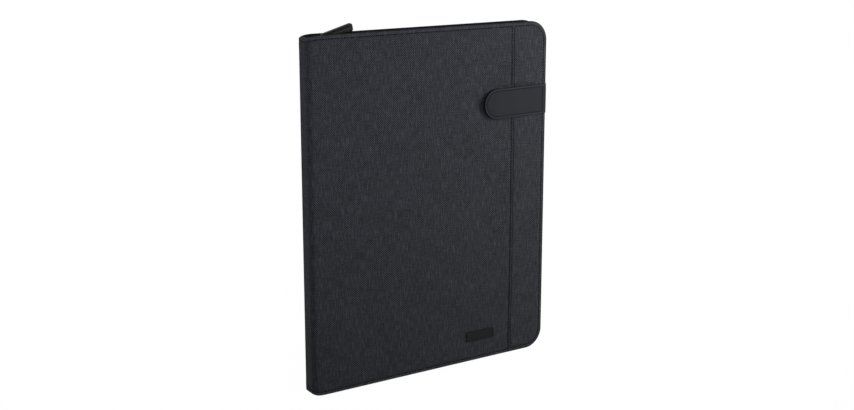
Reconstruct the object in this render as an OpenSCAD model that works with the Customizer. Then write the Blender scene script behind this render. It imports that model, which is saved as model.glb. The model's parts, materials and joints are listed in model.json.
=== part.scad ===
// Zip-round writing folio, closed and lying on its back cover.
// The origin is the middle of the back cover's outer face. +X runs from the spine to the fore edge,
// +Y from the bottom edge to the top edge, and +Z out through the front cover. Millimetres.

/* [Writing pad] */
// Width of the writing pad
pad_w = 215.9; // [140:0.1:230]
// Height of the writing pad
pad_h = 279.4; // [200:0.1:310]
// Thickness of the stack of sheets
sheets_t = 5; // [2:0.5:9]
// Thickness of the pad's card backing
backing_t = 0.8; // [0.5:0.1:1.5]
// Thickness of the binding tape at the pad's head
binding_t = 0.3; // [0.2:0.05:0.6]
// How far the binding tape reaches down the sheets
binding_w = 18; // [8:1:35]
// Free cover between the pad and the fore edge
fore_margin = 15; // [13:0.5:30]
// Free cover between the pad and the top or bottom edge
end_margin = 30.3; // [16:0.1:50]

/* [Cover] */
// Radius of the two corners at the fore edge
corner_r = 19; // [10:0.5:32]
// Thickness of the woven outer cloth
cloth_t = 0.9; // [0.6:0.1:1.4]
// Width of the cloth that is turned in round the edge
rim_w = 1.2; // [0.8:0.1:2]
// Thickness of the foam below the cloth of the front
foam_t = 1; // [0.9:0.1:2.5]
// Thickness of the stiffening board
board_t = 1.4; // [1:0.1:2.5]
// Thickness of the lining
lining_t = 0.5; // [0.3:0.1:1]
// Room round a layer that lies inside the turned-in cloth
layer_gap = 0.1; // [0.05:0.05:0.3]
// Room between a cover's rolled edge and the spine strip
fold_gap = 0.3; // [0.2:0.05:0.6]
// How far the ends of the spine are drawn in from the covers' edges
spine_ease = 2.2; // [0.5:0.1:4]
// Length of a cover's edge over which it is drawn in towards the spine
ease_len = 13; // [9:0.5:20]

/* [Front pocket] */
// Width of the strip that shows between the pocket's mouth and the fore edge
strip_w = 39; // [34:0.5:70]
// Width of the folded hem at the pocket's mouth
hem_w = 4.5; // [3:0.5:9]
// How far the folded hem stands above the panel
hem_rise = 0.4; // [0.2:0.1:0.8]

/* [Label patch] */
// Length of the patch
label_w = 33; // [15:0.5:60]
// Height of the patch
label_h = 10.5; // [6:0.5:25]
// Thickness of the patch
label_t = 0.8; // [0.5:0.1:1.5]
// Width of the patch's raised border
label_border = 1; // [0.6:0.1:2]
// Depth of the field inside the border
label_sink = 0.25; // [0.1:0.05:0.4]
// Distance from the fore edge to the middle of the patch
label_from_fore = 78.5; // [70:0.5:150]
// Distance from the bottom edge to the middle of the patch
label_up = 26; // [16:0.5:80]

/* [Closure tab] */
// Length of the strap from the fore edge to its round end
tab_len = 78; // [60:0.5:100]
// Width of the strap
tab_w = 30; // [22:0.5:40]
// Distance from the top edge to the middle of the strap
tab_drop = 78; // [45:0.5:150]
// Thickness of the leatherette
leather_t = 1.2; // [1:0.1:2]
// Thickness of the strap's backing
tab_backing_t = 0.8; // [0.5:0.1:1.4]
// Distance from the fore edge to the cross stitch where the strap bends
tab_root = 7; // [5:0.5:12]
// Thickness of the strap's single layer at its root
anchor_t = 1; // [0.6:0.1:1.6]
// How far the root reaches under the strap past the cross stitch
anchor_lap = 4; // [2:0.5:8]
// Room between the strap and what it lies on
tab_clear = 0.3; // [0.2:0.05:0.6]
// Diameter of the magnet in the round end
magnet_d = 10; // [6:0.5:16]
// Thickness of the magnet
magnet_t = 0.8; // [0.5:0.1:0.9]
// Diameter of the steel keeper under the front panel
keeper_d = 12; // [8:0.5:18]
// Thickness of the keeper
keeper_t = 0.7; // [0.4:0.1:0.8]
// Room round the magnet and the keeper in their pockets
magnet_gap = 0.15; // [0.1:0.05:0.3]

/* [Pad slot and pockets] */
// Thickness of the panel that holds the pad's backing
slot_t = 0.7; // [0.5:0.1:1.2]
// Height of that panel above the pad's foot
slot_h = 165; // [80:1:190]
// Width of the panel's sewn edge
slot_seam = 6; // [4:0.5:10]
// Room round the backing inside the slot
slot_gap = 0.5; // [0.3:0.1:1]
// Room above the backing inside the slot
slot_rise = 0.1; // [0.05:0.05:0.3]
// Thickness of the document pocket
document_t = 0.8; // [0.5:0.1:1.2]
// Distance from the document pocket to the fore edge and bottom edge
document_inset = 14; // [13:0.5:25]
// Distance from the document pocket's mouth to the top edge
document_drop = 62; // [30:1:120]
// Thickness of a card pocket
card_t = 0.7; // [0.4:0.1:1.2]
// Width of a card pocket
card_w = 98; // [92:1:120]
// Height of a card pocket
card_h = 58; // [50:1:70]
// Space between the two card pockets
card_space = 10; // [4:1:20]
// Distance from the bottom edge to the lower card pocket
card_up = 60; // [30:1:110]
// Radius of the thumb notch in a pocket's mouth
notch_r = 11; // [6:0.5:16]
// Least room between the pad and the pockets of the closed folio
inner_clear = 1.2; // [0.8:0.1:4]

/* [Pen loop] */
// Width of the flattened elastic loop
loop_w = 18; // [12:0.5:24]
// Height of the loop above the lining
loop_h = 6.4; // [6:0.1:8]
// Length of the loop along the pen
loop_len = 25; // [15:1:50]
// Thickness of the elastic
loop_t = 0.8; // [0.5:0.1:0.8]
// Outer radius of the loop's rounded corners
loop_r = 2.5; // [1.5:0.1:3]
// Free lining on either side of the loop
loop_space = 7.2; // [4:0.2:14]

/* [Zip] */
// Distance from the cover's edge to the middle of the zip
zip_inset = 6.7; // [3:0.1:7]
// Thickness of the zip tape
tape_t = 0.8; // [0.5:0.1:1]
// Distance from the cover's edge to the inner edge of the sewn tape
tape_seam = 11; // [8:0.5:12]
// Width of the closed tooth chain
chain_w = 4.4; // [4:0.1:5]
// Depth of the teeth through the tape
tooth_d = 2.4; // [2:0.1:2.8]
// Spacing of the teeth on one side
tooth_pitch = 3; // [2.8:0.1:5]
// Width of a tooth at its foot
tooth_foot = 0.9; // [0.7:0.05:1.0]
// Width of a tooth at its head
tooth_head = 1.35; // [1.1:0.05:1.4]
// Height of the cord that carries the teeth
cord_h = 1; // [0.8:0.1:1.2]
// Room between a tooth's head and the cord that it meets
tooth_gap = 0.4; // [0.3:0.05:0.5]
// Length of an end stop
stop_len = 2; // [1.5:0.1:3]
// Height of an end stop
stop_h = 1.6; // [1.2:0.1:1.8]
// Tape between the fold and the first end stop
tape_tail = 3; // [2:0.1:8]
// Free tape between the end stop and the slider
stop_gap = 1.6; // [1.4:0.1:4]

/* [Slider] */
// Length of the slider
slider_len = 10; // [9:0.1:13]
// Width of the slider at its wide end
slider_w = 8.6; // [8.4:0.1:10]
// Length of the slider's wide part, where the two halves of the chain part
slider_wide_len = 5; // [4:0.1:6]
// Length of the slider's narrow end
slider_tip_len = 2; // [1:0.1:3]
// Corner cut at the slider's wide end
slider_cut = 1.2; // [0.6:0.1:1.8]
// Width of the wedge between the two halves of the chain
wedge_w = 2.2; // [1.4:0.1:2.6]
// Thickness of one slider plate
plate_t = 1.2; // [0.9:0.1:1.4]
// Thickness of the slider's side flanges
flange_t = 0.9; // [0.7:0.05:1.0]
// Room between the slider and the chain, the tape or the covers
slider_clear = 0.35; // [0.3:0.05:0.5]
// Width of the bridge that holds the pull
bridge_w = 2.6; // [2:0.1:3.2]
// Length of the bridge
bridge_len = 6.4; // [5.6:0.1:8]
// Metal above the bridge's bore
bridge_wall = 0.8; // [0.6:0.05:1.2]
// Radius of the bridge's upper corners
bridge_r = 1.4; // [0.8:0.1:1.8]

/* [Pull] */
// Radius of the link's cross pin
pin_r = 0.8; // [0.6:0.05:1]
// Running room of the pin in the bridge
pin_clear = 0.08; // [0.05:0.01:0.1]
// Metal round the pin at the end of an arm
eye_wall = 0.4; // [0.3:0.05:0.6]
// Thickness of one arm of the link
arm_t = 1.1; // [0.8:0.1:1.5]
// Room between the link's arms and the slider
arm_clear = 0.25; // [0.2:0.05:0.4]
// Distance from the pin to the grip
grip_start = 5.6; // [5:0.1:9]
// Length of the grip
grip_len = 30; // [18:0.5:45]
// Width of the grip at its far end
grip_w = 7.6; // [5:0.1:8]
// Radius of the two corners at the grip's far end
grip_end_r = 2.2; // [1.4:0.1:2.4]
// Width of the grip at the link
grip_neck = 4.8; // [3.6:0.1:5]
// Thickness of the grip
grip_t = 4.6; // [3.6:0.1:5]
// Bevel round the grip's edges
grip_bevel = 0.9; // [0.5:0.1:1.2]
// Length of the link's tongue inside the grip
tongue_len = 9; // [5:0.5:14]
// Width and thickness of the tongue
tongue_w = 1.5; // [1:0.1:2]
// Room round the tongue
tongue_gap = 0.05; // [0.03:0.01:0.1]
// Angle of the resting pull above the edge of the folio
pull_rest = 13; // [5:1:30]

/* [Hidden] */
$fn = 48;

// Thickness of one cover, and of the space between the covers
cover_t = 2 * cloth_t + foam_t + board_t + lining_t;
back_foam_t = foam_t + cloth_t;
slot_stack = backing_t + slot_rise + slot_t;
pad_stack = slot_stack + sheets_t + binding_t + inner_clear + card_t + document_t;
loop_stack = loop_h + inner_clear + document_t;
slider_stack = slider_w + 2 * slider_clear;
inner_gap = max(pad_stack, loop_stack, slider_stack);
folio_t = 2 * cover_t + inner_gap;
front_low = folio_t - cover_t;
mid_z = folio_t / 2;

// Outline of the closed folio
fold_r = cover_t / 2;
gutter_w = cover_t + 2 * loop_space + loop_w;
folio_w = gutter_w + pad_w + fore_margin;
folio_h = pad_h + 2 * end_margin;
spine_x = -folio_w / 2;
fore_x = folio_w / 2;
fold_x = spine_x + fold_r;
core_x = fold_x + fold_r;
top_y = folio_h / 2;
// Arc along which the end of a cover is drawn in, and where it starts
ease_r = (pow(ease_len, 2) + pow(spine_ease, 2)) / (2 * spine_ease);
ease_x = spine_x + ease_len;
// How far a cut runs past the face that it opens
past = 1;

// Places of the pad, the pen loop and the pockets
pad_x = fore_x - fore_margin - pad_w;
pad_foot = -pad_h / 2;
sheets_z = cover_t + slot_stack;
loop_x = core_x + loop_space;
document_x = core_x + document_inset;
document_w = fore_x - document_inset - document_x;
document_y = -top_y + document_inset;
document_h = folio_h - document_inset - document_drop;
card_x = document_x + (document_w - card_w) / 2;
card_low_y = -top_y + card_up;
card_high_y = card_low_y + card_h + card_space;

// Places of the pocket's mouth and of the closure tab
mouth_x = fore_x - strip_w;
strip_z = folio_t - cloth_t;
hem_t = cloth_t + hem_rise;
tab_y = top_y - tab_drop;
tab_axis_x = fore_x - tab_root;
tab_end_r = tab_w / 2;
tab_end_x = fore_x - tab_len + tab_end_r;
tab_t = leather_t + tab_backing_t;
tab_z = max(folio_t + hem_rise, strip_z + anchor_t) + tab_clear;
tab_axis_z = tab_z + tab_t / 2;

// Places along the zip
zip_y = top_y - zip_inset;
zip_corner_x = fore_x - corner_r;
zip_corner_y = top_y - corner_r;
chain_low = mid_z - chain_w / 2;
tooth_h = chain_w - 2 * cord_h - tooth_gap;
stop_x = core_x + tape_tail;
slider_x = stop_x + stop_len + stop_gap + slider_len / 2;
chain_x = slider_x;
// Place of the first tooth of each side, as a share of the spacing
back_phase = 0.25;
front_phase = 0.75;

// Slider and pull
channel_h = tooth_d / 2 + slider_clear;
slot_half = tape_t / 2 + slider_clear;
plate_y = channel_h + plate_t;
bore_r = pin_r + pin_clear;
eye_r = pin_r + eye_wall;
pin_y = plate_y + eye_r + arm_clear;
bridge_h = pin_y + bore_r + bridge_wall - plate_y;
arm_z = bridge_w / 2 + arm_clear;

cloth_colour = [0.22, 0.22, 0.235];
lining_colour = [0.14, 0.14, 0.15];
leather_colour = [0.16, 0.165, 0.175];
black_colour = [0.07, 0.07, 0.075];
foam_colour = [0.55, 0.55, 0.56];
card_colour = [0.55, 0.46, 0.36];
paper_colour = [0.93, 0.93, 0.9];
steel_colour = [0.6, 0.61, 0.63];

// Plan of a cover from x0: drawn in a little at the spine, two round corners at the fore edge
module cover_outline(x0, inset) {
    r = corner_r - inset;
    x1 = fore_x - inset;
    y1 = top_y - inset;
    translate([ease_x, -y1]) square([x1 - r - ease_x, 2 * y1]);
    translate([x0, r - y1]) square([x1 - x0, 2 * (y1 - r)]);
    for (side = [-1, 1]) {
        translate([x1 - r, side * (y1 - r)]) circle(r);
        intersection() {
            translate([ease_x, side * (top_y - ease_r)]) circle(ease_r - inset);
            translate([x0, side * top_y / 2 - top_y / 2]) square([ease_x - x0, top_y]);
        }
    }
}

// A flat layer with the cover's plan
module cover_layer(x0, inset, z, t) {
    translate([0, 0, z]) linear_extrude(t) cover_outline(x0, inset);
}

// Cuts the ends of a piece at the spine to the covers' plan
module drawn_in(inset) {
    intersection() {
        children();
        cover_layer(spine_x - past, inset, -past, folio_t + hem_rise + 2 * past);
    }
}

// A band that follows the cover's edge on its three open sides
module edge_band(x0, outer_inset, inner_inset) {
    difference() {
        cover_outline(x0, outer_inset);
        cover_outline(x0 - past, inner_inset);
    }
}

// A plan with four round corners, standing on its lower left corner
module round_rect(w, h, r) {
    translate([r, 0]) square([w - 2 * r, h]);
    translate([0, r]) square([w, h - 2 * r]);
    for (x = [r, w - r], y = [r, h - r]) {
        translate([x, y]) circle(r);
    }
}

// A bar with a round nose along Y, for edges that turn about their own middle
module round_edge(x, z, r, y0, length) {
    translate([x, y0 + length, z]) rotate([90, 0, 0]) cylinder(r = r, h = length);
}

// The rolled edge of a cover at the spine
module rolled_edge(axis_z) {
    round_edge(fold_x, axis_z, fold_r, -top_y, folio_h);
    translate([fold_x, -top_y, axis_z - fold_r]) cube([fold_r, folio_h, cover_t]);
}

// Turns a piece of the back cover's zip over to the front cover
module facing() {
    translate([0, 0, folio_t]) mirror([0, 0, 1]) children();
}

module back_outer_panel() {
    color(cloth_colour) {
        difference() {
            cover_layer(core_x, 0, 0, cover_t);
            cover_layer(core_x - past, rim_w, cloth_t, cover_t);
        }
        drawn_in(0) rolled_edge(fold_r);
    }
}

module back_foam() {
    color(foam_colour) cover_layer(core_x, rim_w + layer_gap, cloth_t, back_foam_t);
}

module back_board() {
    color(card_colour) cover_layer(core_x, rim_w + layer_gap, cloth_t + back_foam_t, board_t);
}

module back_lining() {
    color(lining_colour) cover_layer(core_x, tape_seam + layer_gap, cover_t - lining_t, lining_t);
}

// Panel sewn down on three sides. The pad's backing slips in from above.
module pad_slot_panel() {
    out_w = pad_w + 2 * (slot_gap + slot_seam);
    in_w = pad_w + 2 * slot_gap;
    foot = pad_foot - slot_gap;
    color(lining_colour) difference() {
        translate([pad_x - slot_gap - slot_seam, foot - slot_seam, cover_t])
            cube([out_w, slot_h + slot_gap + slot_seam, slot_stack]);
        translate([pad_x - slot_gap, foot, cover_t - past])
            cube([in_w, slot_h + slot_gap + past, past + backing_t + slot_rise]);
    }
}

module pad_backing() {
    color(card_colour) translate([pad_x, pad_foot, cover_t]) cube([pad_w, pad_h, backing_t]);
}

module pad_sheets() {
    color(paper_colour) translate([pad_x, pad_foot, sheets_z]) cube([pad_w, pad_h, sheets_t]);
}

// Tape over the head of the pad, from the sheets down to the backing
module pad_binding() {
    head = -pad_foot;
    stack = slot_stack + sheets_t;
    color(lining_colour) {
        translate([pad_x, head - binding_w, cover_t + stack]) cube([pad_w, binding_w + binding_t, binding_t]);
        translate([pad_x, head, cover_t]) cube([pad_w, binding_t, stack + binding_t]);
    }
}

// Flattened elastic loop, flat where it is sewn to the lining
module pen_loop() {
    color(black_colour) translate([loop_x, loop_len / 2, cover_t]) rotate([90, 0, 0]) linear_extrude(loop_len)
        difference() {
            round_rect(loop_w, loop_h, loop_r);
            translate([loop_t, loop_t]) round_rect(loop_w - 2 * loop_t, loop_h - 2 * loop_t, loop_r - loop_t);
        }
}

// Zip tape of one cover: sewn flat below the lining's edge, then turned up to the chain
module zip_tape() {
    seam_z = cover_t - lining_t;
    translate([0, 0, seam_z]) linear_extrude(lining_t) edge_band(core_x, rim_w + layer_gap, tape_seam);
    translate([0, 0, seam_z]) linear_extrude(chain_low - seam_z)
        edge_band(core_x, zip_inset - tape_t / 2, zip_inset + tape_t / 2);
}

// Profile of one tooth, standing on the cord
function tooth_points(middle) = [
    [middle + tooth_foot / 2, cord_h],
    [middle + tooth_head / 2, cord_h + tooth_h],
    [middle - tooth_head / 2, cord_h + tooth_h],
    [middle - tooth_foot / 2, cord_h]
];

// Number of teeth that one side carries along a run, and their true spacing there
function tooth_count(run) = floor(run / tooth_pitch);
function tooth_step(run) = run / tooth_count(run);

// Cord with its row of teeth along a straight run. The phase sets the teeth of the two sides apart.
module tooth_row(run, phase) {
    count = tooth_count(run);
    step = tooth_step(run);
    teeth = [for (k = [count - 1:-1:0], p = tooth_points((k + phase) * step)) p];
    rotate([90, 0, 0]) linear_extrude(tooth_d, center = true)
        polygon(concat([[0, 0], [run, 0], [run, cord_h]], teeth, [[0, cord_h]]));
}

// Cord with its teeth round a fore-edge corner
module tooth_corner(phase) {
    r = corner_r - zip_inset;
    run = r * PI / 2;
    count = tooth_count(run);
    step = 90 / count;
    foot = [tooth_foot / 2, 0];
    rotate_extrude(angle = 90) translate([r - tooth_d / 2, 0]) square([tooth_d, cord_h]);
    for (k = [0:count - 1]) {
        rotate((k + phase) * step) translate([r, 0, 0]) rotate([90, 0, 90])
            linear_extrude(tooth_d, center = true)
                polygon(concat([-foot, foot], tooth_points(0)));
    }
}

// One half of the chain, along the top edge, the fore edge and the bottom edge
module tooth_chain(phase) {
    top_run = zip_corner_x - chain_x;
    low_x = stop_x + stop_len + stop_gap;
    translate([0, 0, chain_low]) {
        translate([chain_x, zip_y, 0]) tooth_row(top_run, phase);
        translate([zip_corner_x, zip_corner_y, 0]) tooth_corner(phase);
        translate([fore_x - zip_inset, -zip_corner_y, 0]) rotate(90) tooth_row(2 * zip_corner_y, phase);
        translate([zip_corner_x, -zip_corner_y, 0]) rotate(-90) tooth_corner(phase);
        translate([low_x, -zip_y, 0]) tooth_row(zip_corner_x - low_x, phase);
    }
}

// End stops of one side, one at each end of the zip
module zip_stops() {
    for (side = [-1, 1]) {
        translate([stop_x, side * zip_y - tooth_d / 2, chain_low]) cube([stop_len, tooth_d, stop_h]);
    }
}

module zip_tape_back() {
    color(black_colour) zip_tape();
}

module zip_tape_front() {
    color(black_colour) facing() zip_tape();
}

module zip_chain_back() {
    color(black_colour) tooth_chain(back_phase);
}

module zip_chain_front() {
    color(black_colour) facing() tooth_chain(front_phase);
}

module zip_stops_back() {
    color(black_colour) zip_stops();
}

module zip_stops_front() {
    color(black_colour) facing() zip_stops();
}

// A layer of the spine strip, hollowed at both ends for the rolled edges of the covers
module spine_layer(x, t) {
    difference() {
        translate([x, -top_y, fold_r]) cube([t, folio_h, folio_t - 2 * fold_r]);
        for (z = [fold_r, folio_t - fold_r]) {
            round_edge(fold_x, z, fold_r + fold_gap, -top_y - past, folio_h + 2 * past);
        }
    }
}

module spine_outer() {
    color(cloth_colour) drawn_in(0) spine_layer(spine_x, cloth_t);
}

module spine_board() {
    color(card_colour) drawn_in(rim_w) spine_layer(spine_x + cloth_t, board_t);
}

module spine_lining() {
    color(lining_colour) drawn_in(rim_w) spine_layer(spine_x + cloth_t + board_t, lining_t);
}

// Main panel of the front, from the rolled edge to the folded hem at the pocket's mouth
module front_pocket_panel() {
    hem_r = hem_t / 2;
    color(cloth_colour) drawn_in(0) {
        rolled_edge(folio_t - fold_r);
        translate([fold_x, -top_y, strip_z]) cube([mouth_x - hem_r - fold_x, folio_h, cloth_t]);
        translate([mouth_x - hem_w, -top_y, strip_z]) cube([hem_w - hem_r, folio_h, hem_t]);
        round_edge(mouth_x - hem_r, strip_z + hem_r, hem_r, -top_y, folio_h);
    }
}

module front_base_panel() {
    color(cloth_colour) difference() {
        cover_layer(core_x, 0, front_low, strip_z - front_low);
        cover_layer(core_x - past, rim_w, front_low - cloth_t, strip_z - front_low);
    }
}

module front_foam() {
    color(foam_colour) difference() {
        cover_layer(core_x, rim_w + layer_gap, front_low + lining_t + board_t, foam_t);
        translate([tab_end_x, tab_y, strip_z - cloth_t - keeper_t])
            cylinder(d = keeper_d + 2 * magnet_gap, h = keeper_t + past);
    }
}

module front_board() {
    color(card_colour) cover_layer(core_x, rim_w + layer_gap, front_low + lining_t, board_t);
}

module front_lining() {
    color(lining_colour) cover_layer(core_x, tape_seam + layer_gap, front_low, lining_t);
}

// A flat pocket with a thumb notch in its upper edge
module slip_pocket(x, y, z, w, h, t) {
    color(lining_colour) translate([x, y, z]) difference() {
        cube([w, h, t]);
        translate([w / 2, h, -past]) cylinder(r = notch_r, h = t + 2 * past);
    }
}

module document_pocket() {
    slip_pocket(document_x, document_y, front_low - document_t, document_w, document_h, document_t);
}

module card_pocket_upper() {
    slip_pocket(card_x, card_high_y, front_low - document_t - card_t, card_w, card_h, card_t);
}

module card_pocket_lower() {
    slip_pocket(card_x, card_low_y, front_low - document_t - card_t, card_w, card_h, card_t);
}

// Bare moulded patch with a raised border
module label_patch() {
    corner = label_border;
    field_w = label_w - 2 * label_border;
    field_h = label_h - 2 * label_border;
    color(black_colour)
        translate([fore_x - label_from_fore - label_w / 2, label_up - top_y - label_h / 2, folio_t])
            difference() {
                linear_extrude(label_t) round_rect(label_w, label_h, corner);
                translate([label_border, label_border, label_t - label_sink]) cube([field_w, field_h, past]);
            }
}

module tab_keeper() {
    color(steel_colour) translate([tab_end_x, tab_y, strip_z - cloth_t - keeper_t])
        cylinder(d = keeper_d, h = keeper_t);
}

// Root of the strap, sewn flat on the strip and turned down round the fore edge
module tab_anchor() {
    low_y = tab_y - tab_w / 2;
    lap_x = tab_axis_x - anchor_lap;
    color(leather_colour) {
        translate([lap_x, low_y, strip_z]) cube([fore_x - lap_x, tab_w, anchor_t]);
        translate([fore_x, low_y, front_low]) cube([anchor_t, tab_w, strip_z - front_low]);
        intersection() {
            round_edge(fore_x, strip_z, anchor_t, low_y, tab_w);
            translate([fore_x, low_y, strip_z]) cube([2 * anchor_t, tab_w, 2 * anchor_t]);
        }
    }
}

// Plan of the strap from x1 back to its round end
module strap_outline(x1) {
    translate([tab_end_x, tab_y]) circle(tab_end_r);
    translate([tab_end_x, tab_y - tab_end_r]) square([x1 - tab_end_x, tab_w]);
}

// Leatherette of the strap, wrapped round the end at which it bends, with a pocket for the magnet
module closure_tab() {
    root_r = tab_t / 2;
    low_y = tab_y - tab_w / 2;
    color(leather_colour) {
        difference() {
            translate([0, 0, tab_z + tab_backing_t]) linear_extrude(leather_t) strap_outline(tab_axis_x);
            translate([tab_end_x, tab_y, tab_z])
                cylinder(d = magnet_d + 2 * magnet_gap, h = tab_backing_t + magnet_t);
        }
        translate([tab_axis_x - root_r, low_y, tab_z]) cube([root_r, tab_w, tab_t]);
        round_edge(tab_axis_x, tab_axis_z, root_r, low_y, tab_w);
    }
}

module tab_backing() {
    color(leather_colour) translate([0, 0, tab_z]) linear_extrude(tab_backing_t)
        strap_outline(tab_axis_x - tab_t / 2);
}

module tab_magnet() {
    color(steel_colour) translate([tab_end_x, tab_y, tab_z + tab_backing_t])
        cylinder(d = magnet_d, h = magnet_t);
}

// Plan of the slider, wide where the two halves of the chain part
module slider_outline(inset) {
    half = slider_len / 2;
    wide = slider_w / 2 - inset;
    narrow = chain_w / 2 + slider_clear + flange_t - inset;
    side = [
        [-half, wide - slider_cut], [slider_cut - half, wide], [slider_wide_len - half, wide],
        [half - slider_tip_len, narrow], [half, narrow]
    ];
    other_side = [for (k = [len(side) - 1:-1:0]) [side[k].x, -side[k].y]];
    polygon(concat(side, other_side));
}

// One plate of the slider with the flanges that hold the teeth
module slider_plate() {
    rotate([-90, 0, 0]) {
        translate([0, 0, channel_h]) linear_extrude(plate_t) slider_outline(0);
        translate([0, 0, slot_half]) linear_extrude(channel_h - slot_half) difference() {
            slider_outline(0);
            square([slider_len + 2 * past, chain_w + 2 * slider_clear], center = true);
            translate([-slider_len / 2, 0])
                square([2 * slider_wide_len, slider_w - 2 * flange_t], center = true);
        }
    }
}

// Two plates, the wedge that parts the chain, and a bridge with a bore for the pull's pin
module slider_body() {
    half = slider_len / 2;
    color(black_colour) translate([slider_x, zip_y, mid_z]) {
        slider_plate();
        mirror([0, 1, 0]) slider_plate();
        rotate([90, 0, 0]) linear_extrude(2 * channel_h, center = true)
            polygon([[-half, -wedge_w / 2], [-slider_clear, 0], [-half, wedge_w / 2]]);
        difference() {
            translate([-bridge_len / 2, plate_y, -bridge_w / 2]) linear_extrude(bridge_w) {
                square([bridge_len, bridge_h - bridge_r]);
                round_rect(bridge_len, bridge_h, bridge_r);
            }
            translate([0, pin_y, -bridge_w]) cylinder(r = bore_r, h = 2 * bridge_w);
        }
    }
}

// Puts a piece of the pull at its pin, turned to the resting angle
module on_pin() {
    translate([slider_x, zip_y + pin_y, mid_z]) rotate(pull_rest) children();
}

// Link: a cross pin through the bridge, two arms, and a tongue that the grip is moulded on
module pull_link() {
    color(steel_colour) on_pin() {
        cylinder(r = pin_r, h = 2 * arm_z + arm_t, center = true);
        for (side = [-1, 1]) {
            translate([0, 0, side * (arm_z + arm_t / 2) - arm_t / 2]) linear_extrude(arm_t) {
                circle(eye_r);
                translate([0, -eye_r]) square([grip_start, 2 * eye_r]);
            }
        }
        translate([grip_start - arm_t, -eye_r, -arm_z - arm_t]) cube([arm_t, 2 * eye_r, 2 * (arm_z + arm_t)]);
        translate([grip_start, -tongue_w / 2, -tongue_w / 2]) cube([tongue_len, tongue_w, tongue_w]);
    }
}

// Plan of the grip, from its neck at the link to the round corners of its far end
module grip_outline(inset) {
    end_x = grip_start + grip_len - grip_end_r;
    half = grip_w / 2 - inset;
    neck = grip_neck / 2 - inset;
    for (side = [-1, 1]) {
        translate([end_x, side * (grip_w / 2 - grip_end_r)]) circle(grip_end_r - inset);
    }
    polygon([[grip_start, -neck], [end_x, -half], [end_x, half], [grip_start, neck]]);
}

// Moulded grip with bevelled edges
module pull_grip() {
    socket = tongue_w + 2 * tongue_gap;
    color(black_colour) on_pin() difference() {
        hull() {
            linear_extrude(grip_t - 2 * grip_bevel, center = true) grip_outline(0, $fn = 32);
            linear_extrude(grip_t, center = true) grip_outline(grip_bevel, $fn = 32);
        }
        translate([grip_start - past, -socket / 2, -socket / 2])
            cube([past + tongue_len + tongue_gap, socket, socket]);
    }
}

back_outer_panel();
back_foam();
back_board();
back_lining();
pad_slot_panel();
pad_backing();
pad_sheets();
pad_binding();
pen_loop();
zip_tape_back();
zip_chain_back();
zip_stops_back();
spine_outer();
spine_board();
spine_lining();
front_pocket_panel();
front_base_panel();
front_foam();
front_board();
front_lining();
document_pocket();
card_pocket_upper();
card_pocket_lower();
zip_tape_front();
zip_chain_front();
zip_stops_front();
label_patch();
tab_keeper();
tab_anchor();
closure_tab();
tab_backing();
tab_magnet();
slider_body();
pull_link();
pull_grip();
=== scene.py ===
# %% [markdown]
# # A zip padfolio in charcoal heather cloth
# A padfolio is a flat zip case for a writing pad: two padded covers, joined by a narrow spine, with a
# zip round the three open edges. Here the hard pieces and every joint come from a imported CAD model, and
# Blender adds what is soft: cloth, thread, leatherette, lining and paper. The CAD nodes are never moved.

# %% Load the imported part
import json
import math
import random

import bmesh
import bpy
import numpy as np
from mathutils import Matrix, Vector


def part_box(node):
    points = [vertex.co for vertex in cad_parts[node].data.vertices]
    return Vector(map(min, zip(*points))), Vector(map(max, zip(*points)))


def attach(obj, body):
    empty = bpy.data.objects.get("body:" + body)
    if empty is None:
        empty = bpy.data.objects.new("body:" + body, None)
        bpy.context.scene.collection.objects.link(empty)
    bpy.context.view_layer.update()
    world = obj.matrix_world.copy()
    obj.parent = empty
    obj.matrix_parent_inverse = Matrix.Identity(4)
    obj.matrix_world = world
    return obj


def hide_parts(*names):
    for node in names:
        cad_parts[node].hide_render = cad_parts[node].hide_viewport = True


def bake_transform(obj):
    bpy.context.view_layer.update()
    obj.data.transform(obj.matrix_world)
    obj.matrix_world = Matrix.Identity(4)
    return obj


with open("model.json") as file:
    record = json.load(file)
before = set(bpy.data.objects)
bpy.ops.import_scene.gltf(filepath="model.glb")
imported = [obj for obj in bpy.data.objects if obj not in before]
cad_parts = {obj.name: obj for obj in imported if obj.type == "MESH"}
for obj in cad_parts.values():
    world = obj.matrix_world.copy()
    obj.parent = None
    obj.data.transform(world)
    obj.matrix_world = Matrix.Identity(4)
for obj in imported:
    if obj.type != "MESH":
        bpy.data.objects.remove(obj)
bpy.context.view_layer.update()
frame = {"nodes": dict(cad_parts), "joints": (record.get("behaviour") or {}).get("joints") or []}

M_TO_MM = 1000.0

# %% [markdown]
# ## Sizes that the cloth has to meet
# The cloth lies on the CAD solids, so its sizes are read from their boxes, in millimetres. Only the
# corner's radius, and the arc along which the covers' ends are drawn in towards the spine, can't be read
# from a box and are repeated here.

# %% Read the sizes


def span(node):
    """Lowest and highest corner of a CAD node, in millimetres."""
    low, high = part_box(node)
    return low * M_TO_MM, high * M_TO_MM


back_low, back_high = span("back_outer_panel")
base_low, base_high = span("front_base_panel")
SPINE_X, FORE_X, TOP_Y, COVER_T = back_low.x, back_high.x, back_high.y, back_high.z
FOLD_R = COVER_T / 2
FOLD_X = SPINE_X + FOLD_R
CORE_X = FOLD_X + FOLD_R
FRONT_LOW, STRIP_Z = base_low.z, base_high.z
FRONT_TOP = FRONT_LOW + COVER_T
MID_Z = FRONT_TOP / 2
MOUTH_X = span("front_pocket_panel")[1].x
CORNER_R = 19.0
SPINE_EASE, EASE_LEN = 2.2, 13.0
EASE_R = (EASE_LEN**2 + SPINE_EASE**2) / (2 * SPINE_EASE)
print(f"folio {FORE_X - SPINE_X:.1f} x {2 * TOP_Y:.1f} x {FRONT_TOP:.1f} mm, covers {COVER_T:.1f} mm thick")

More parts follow.
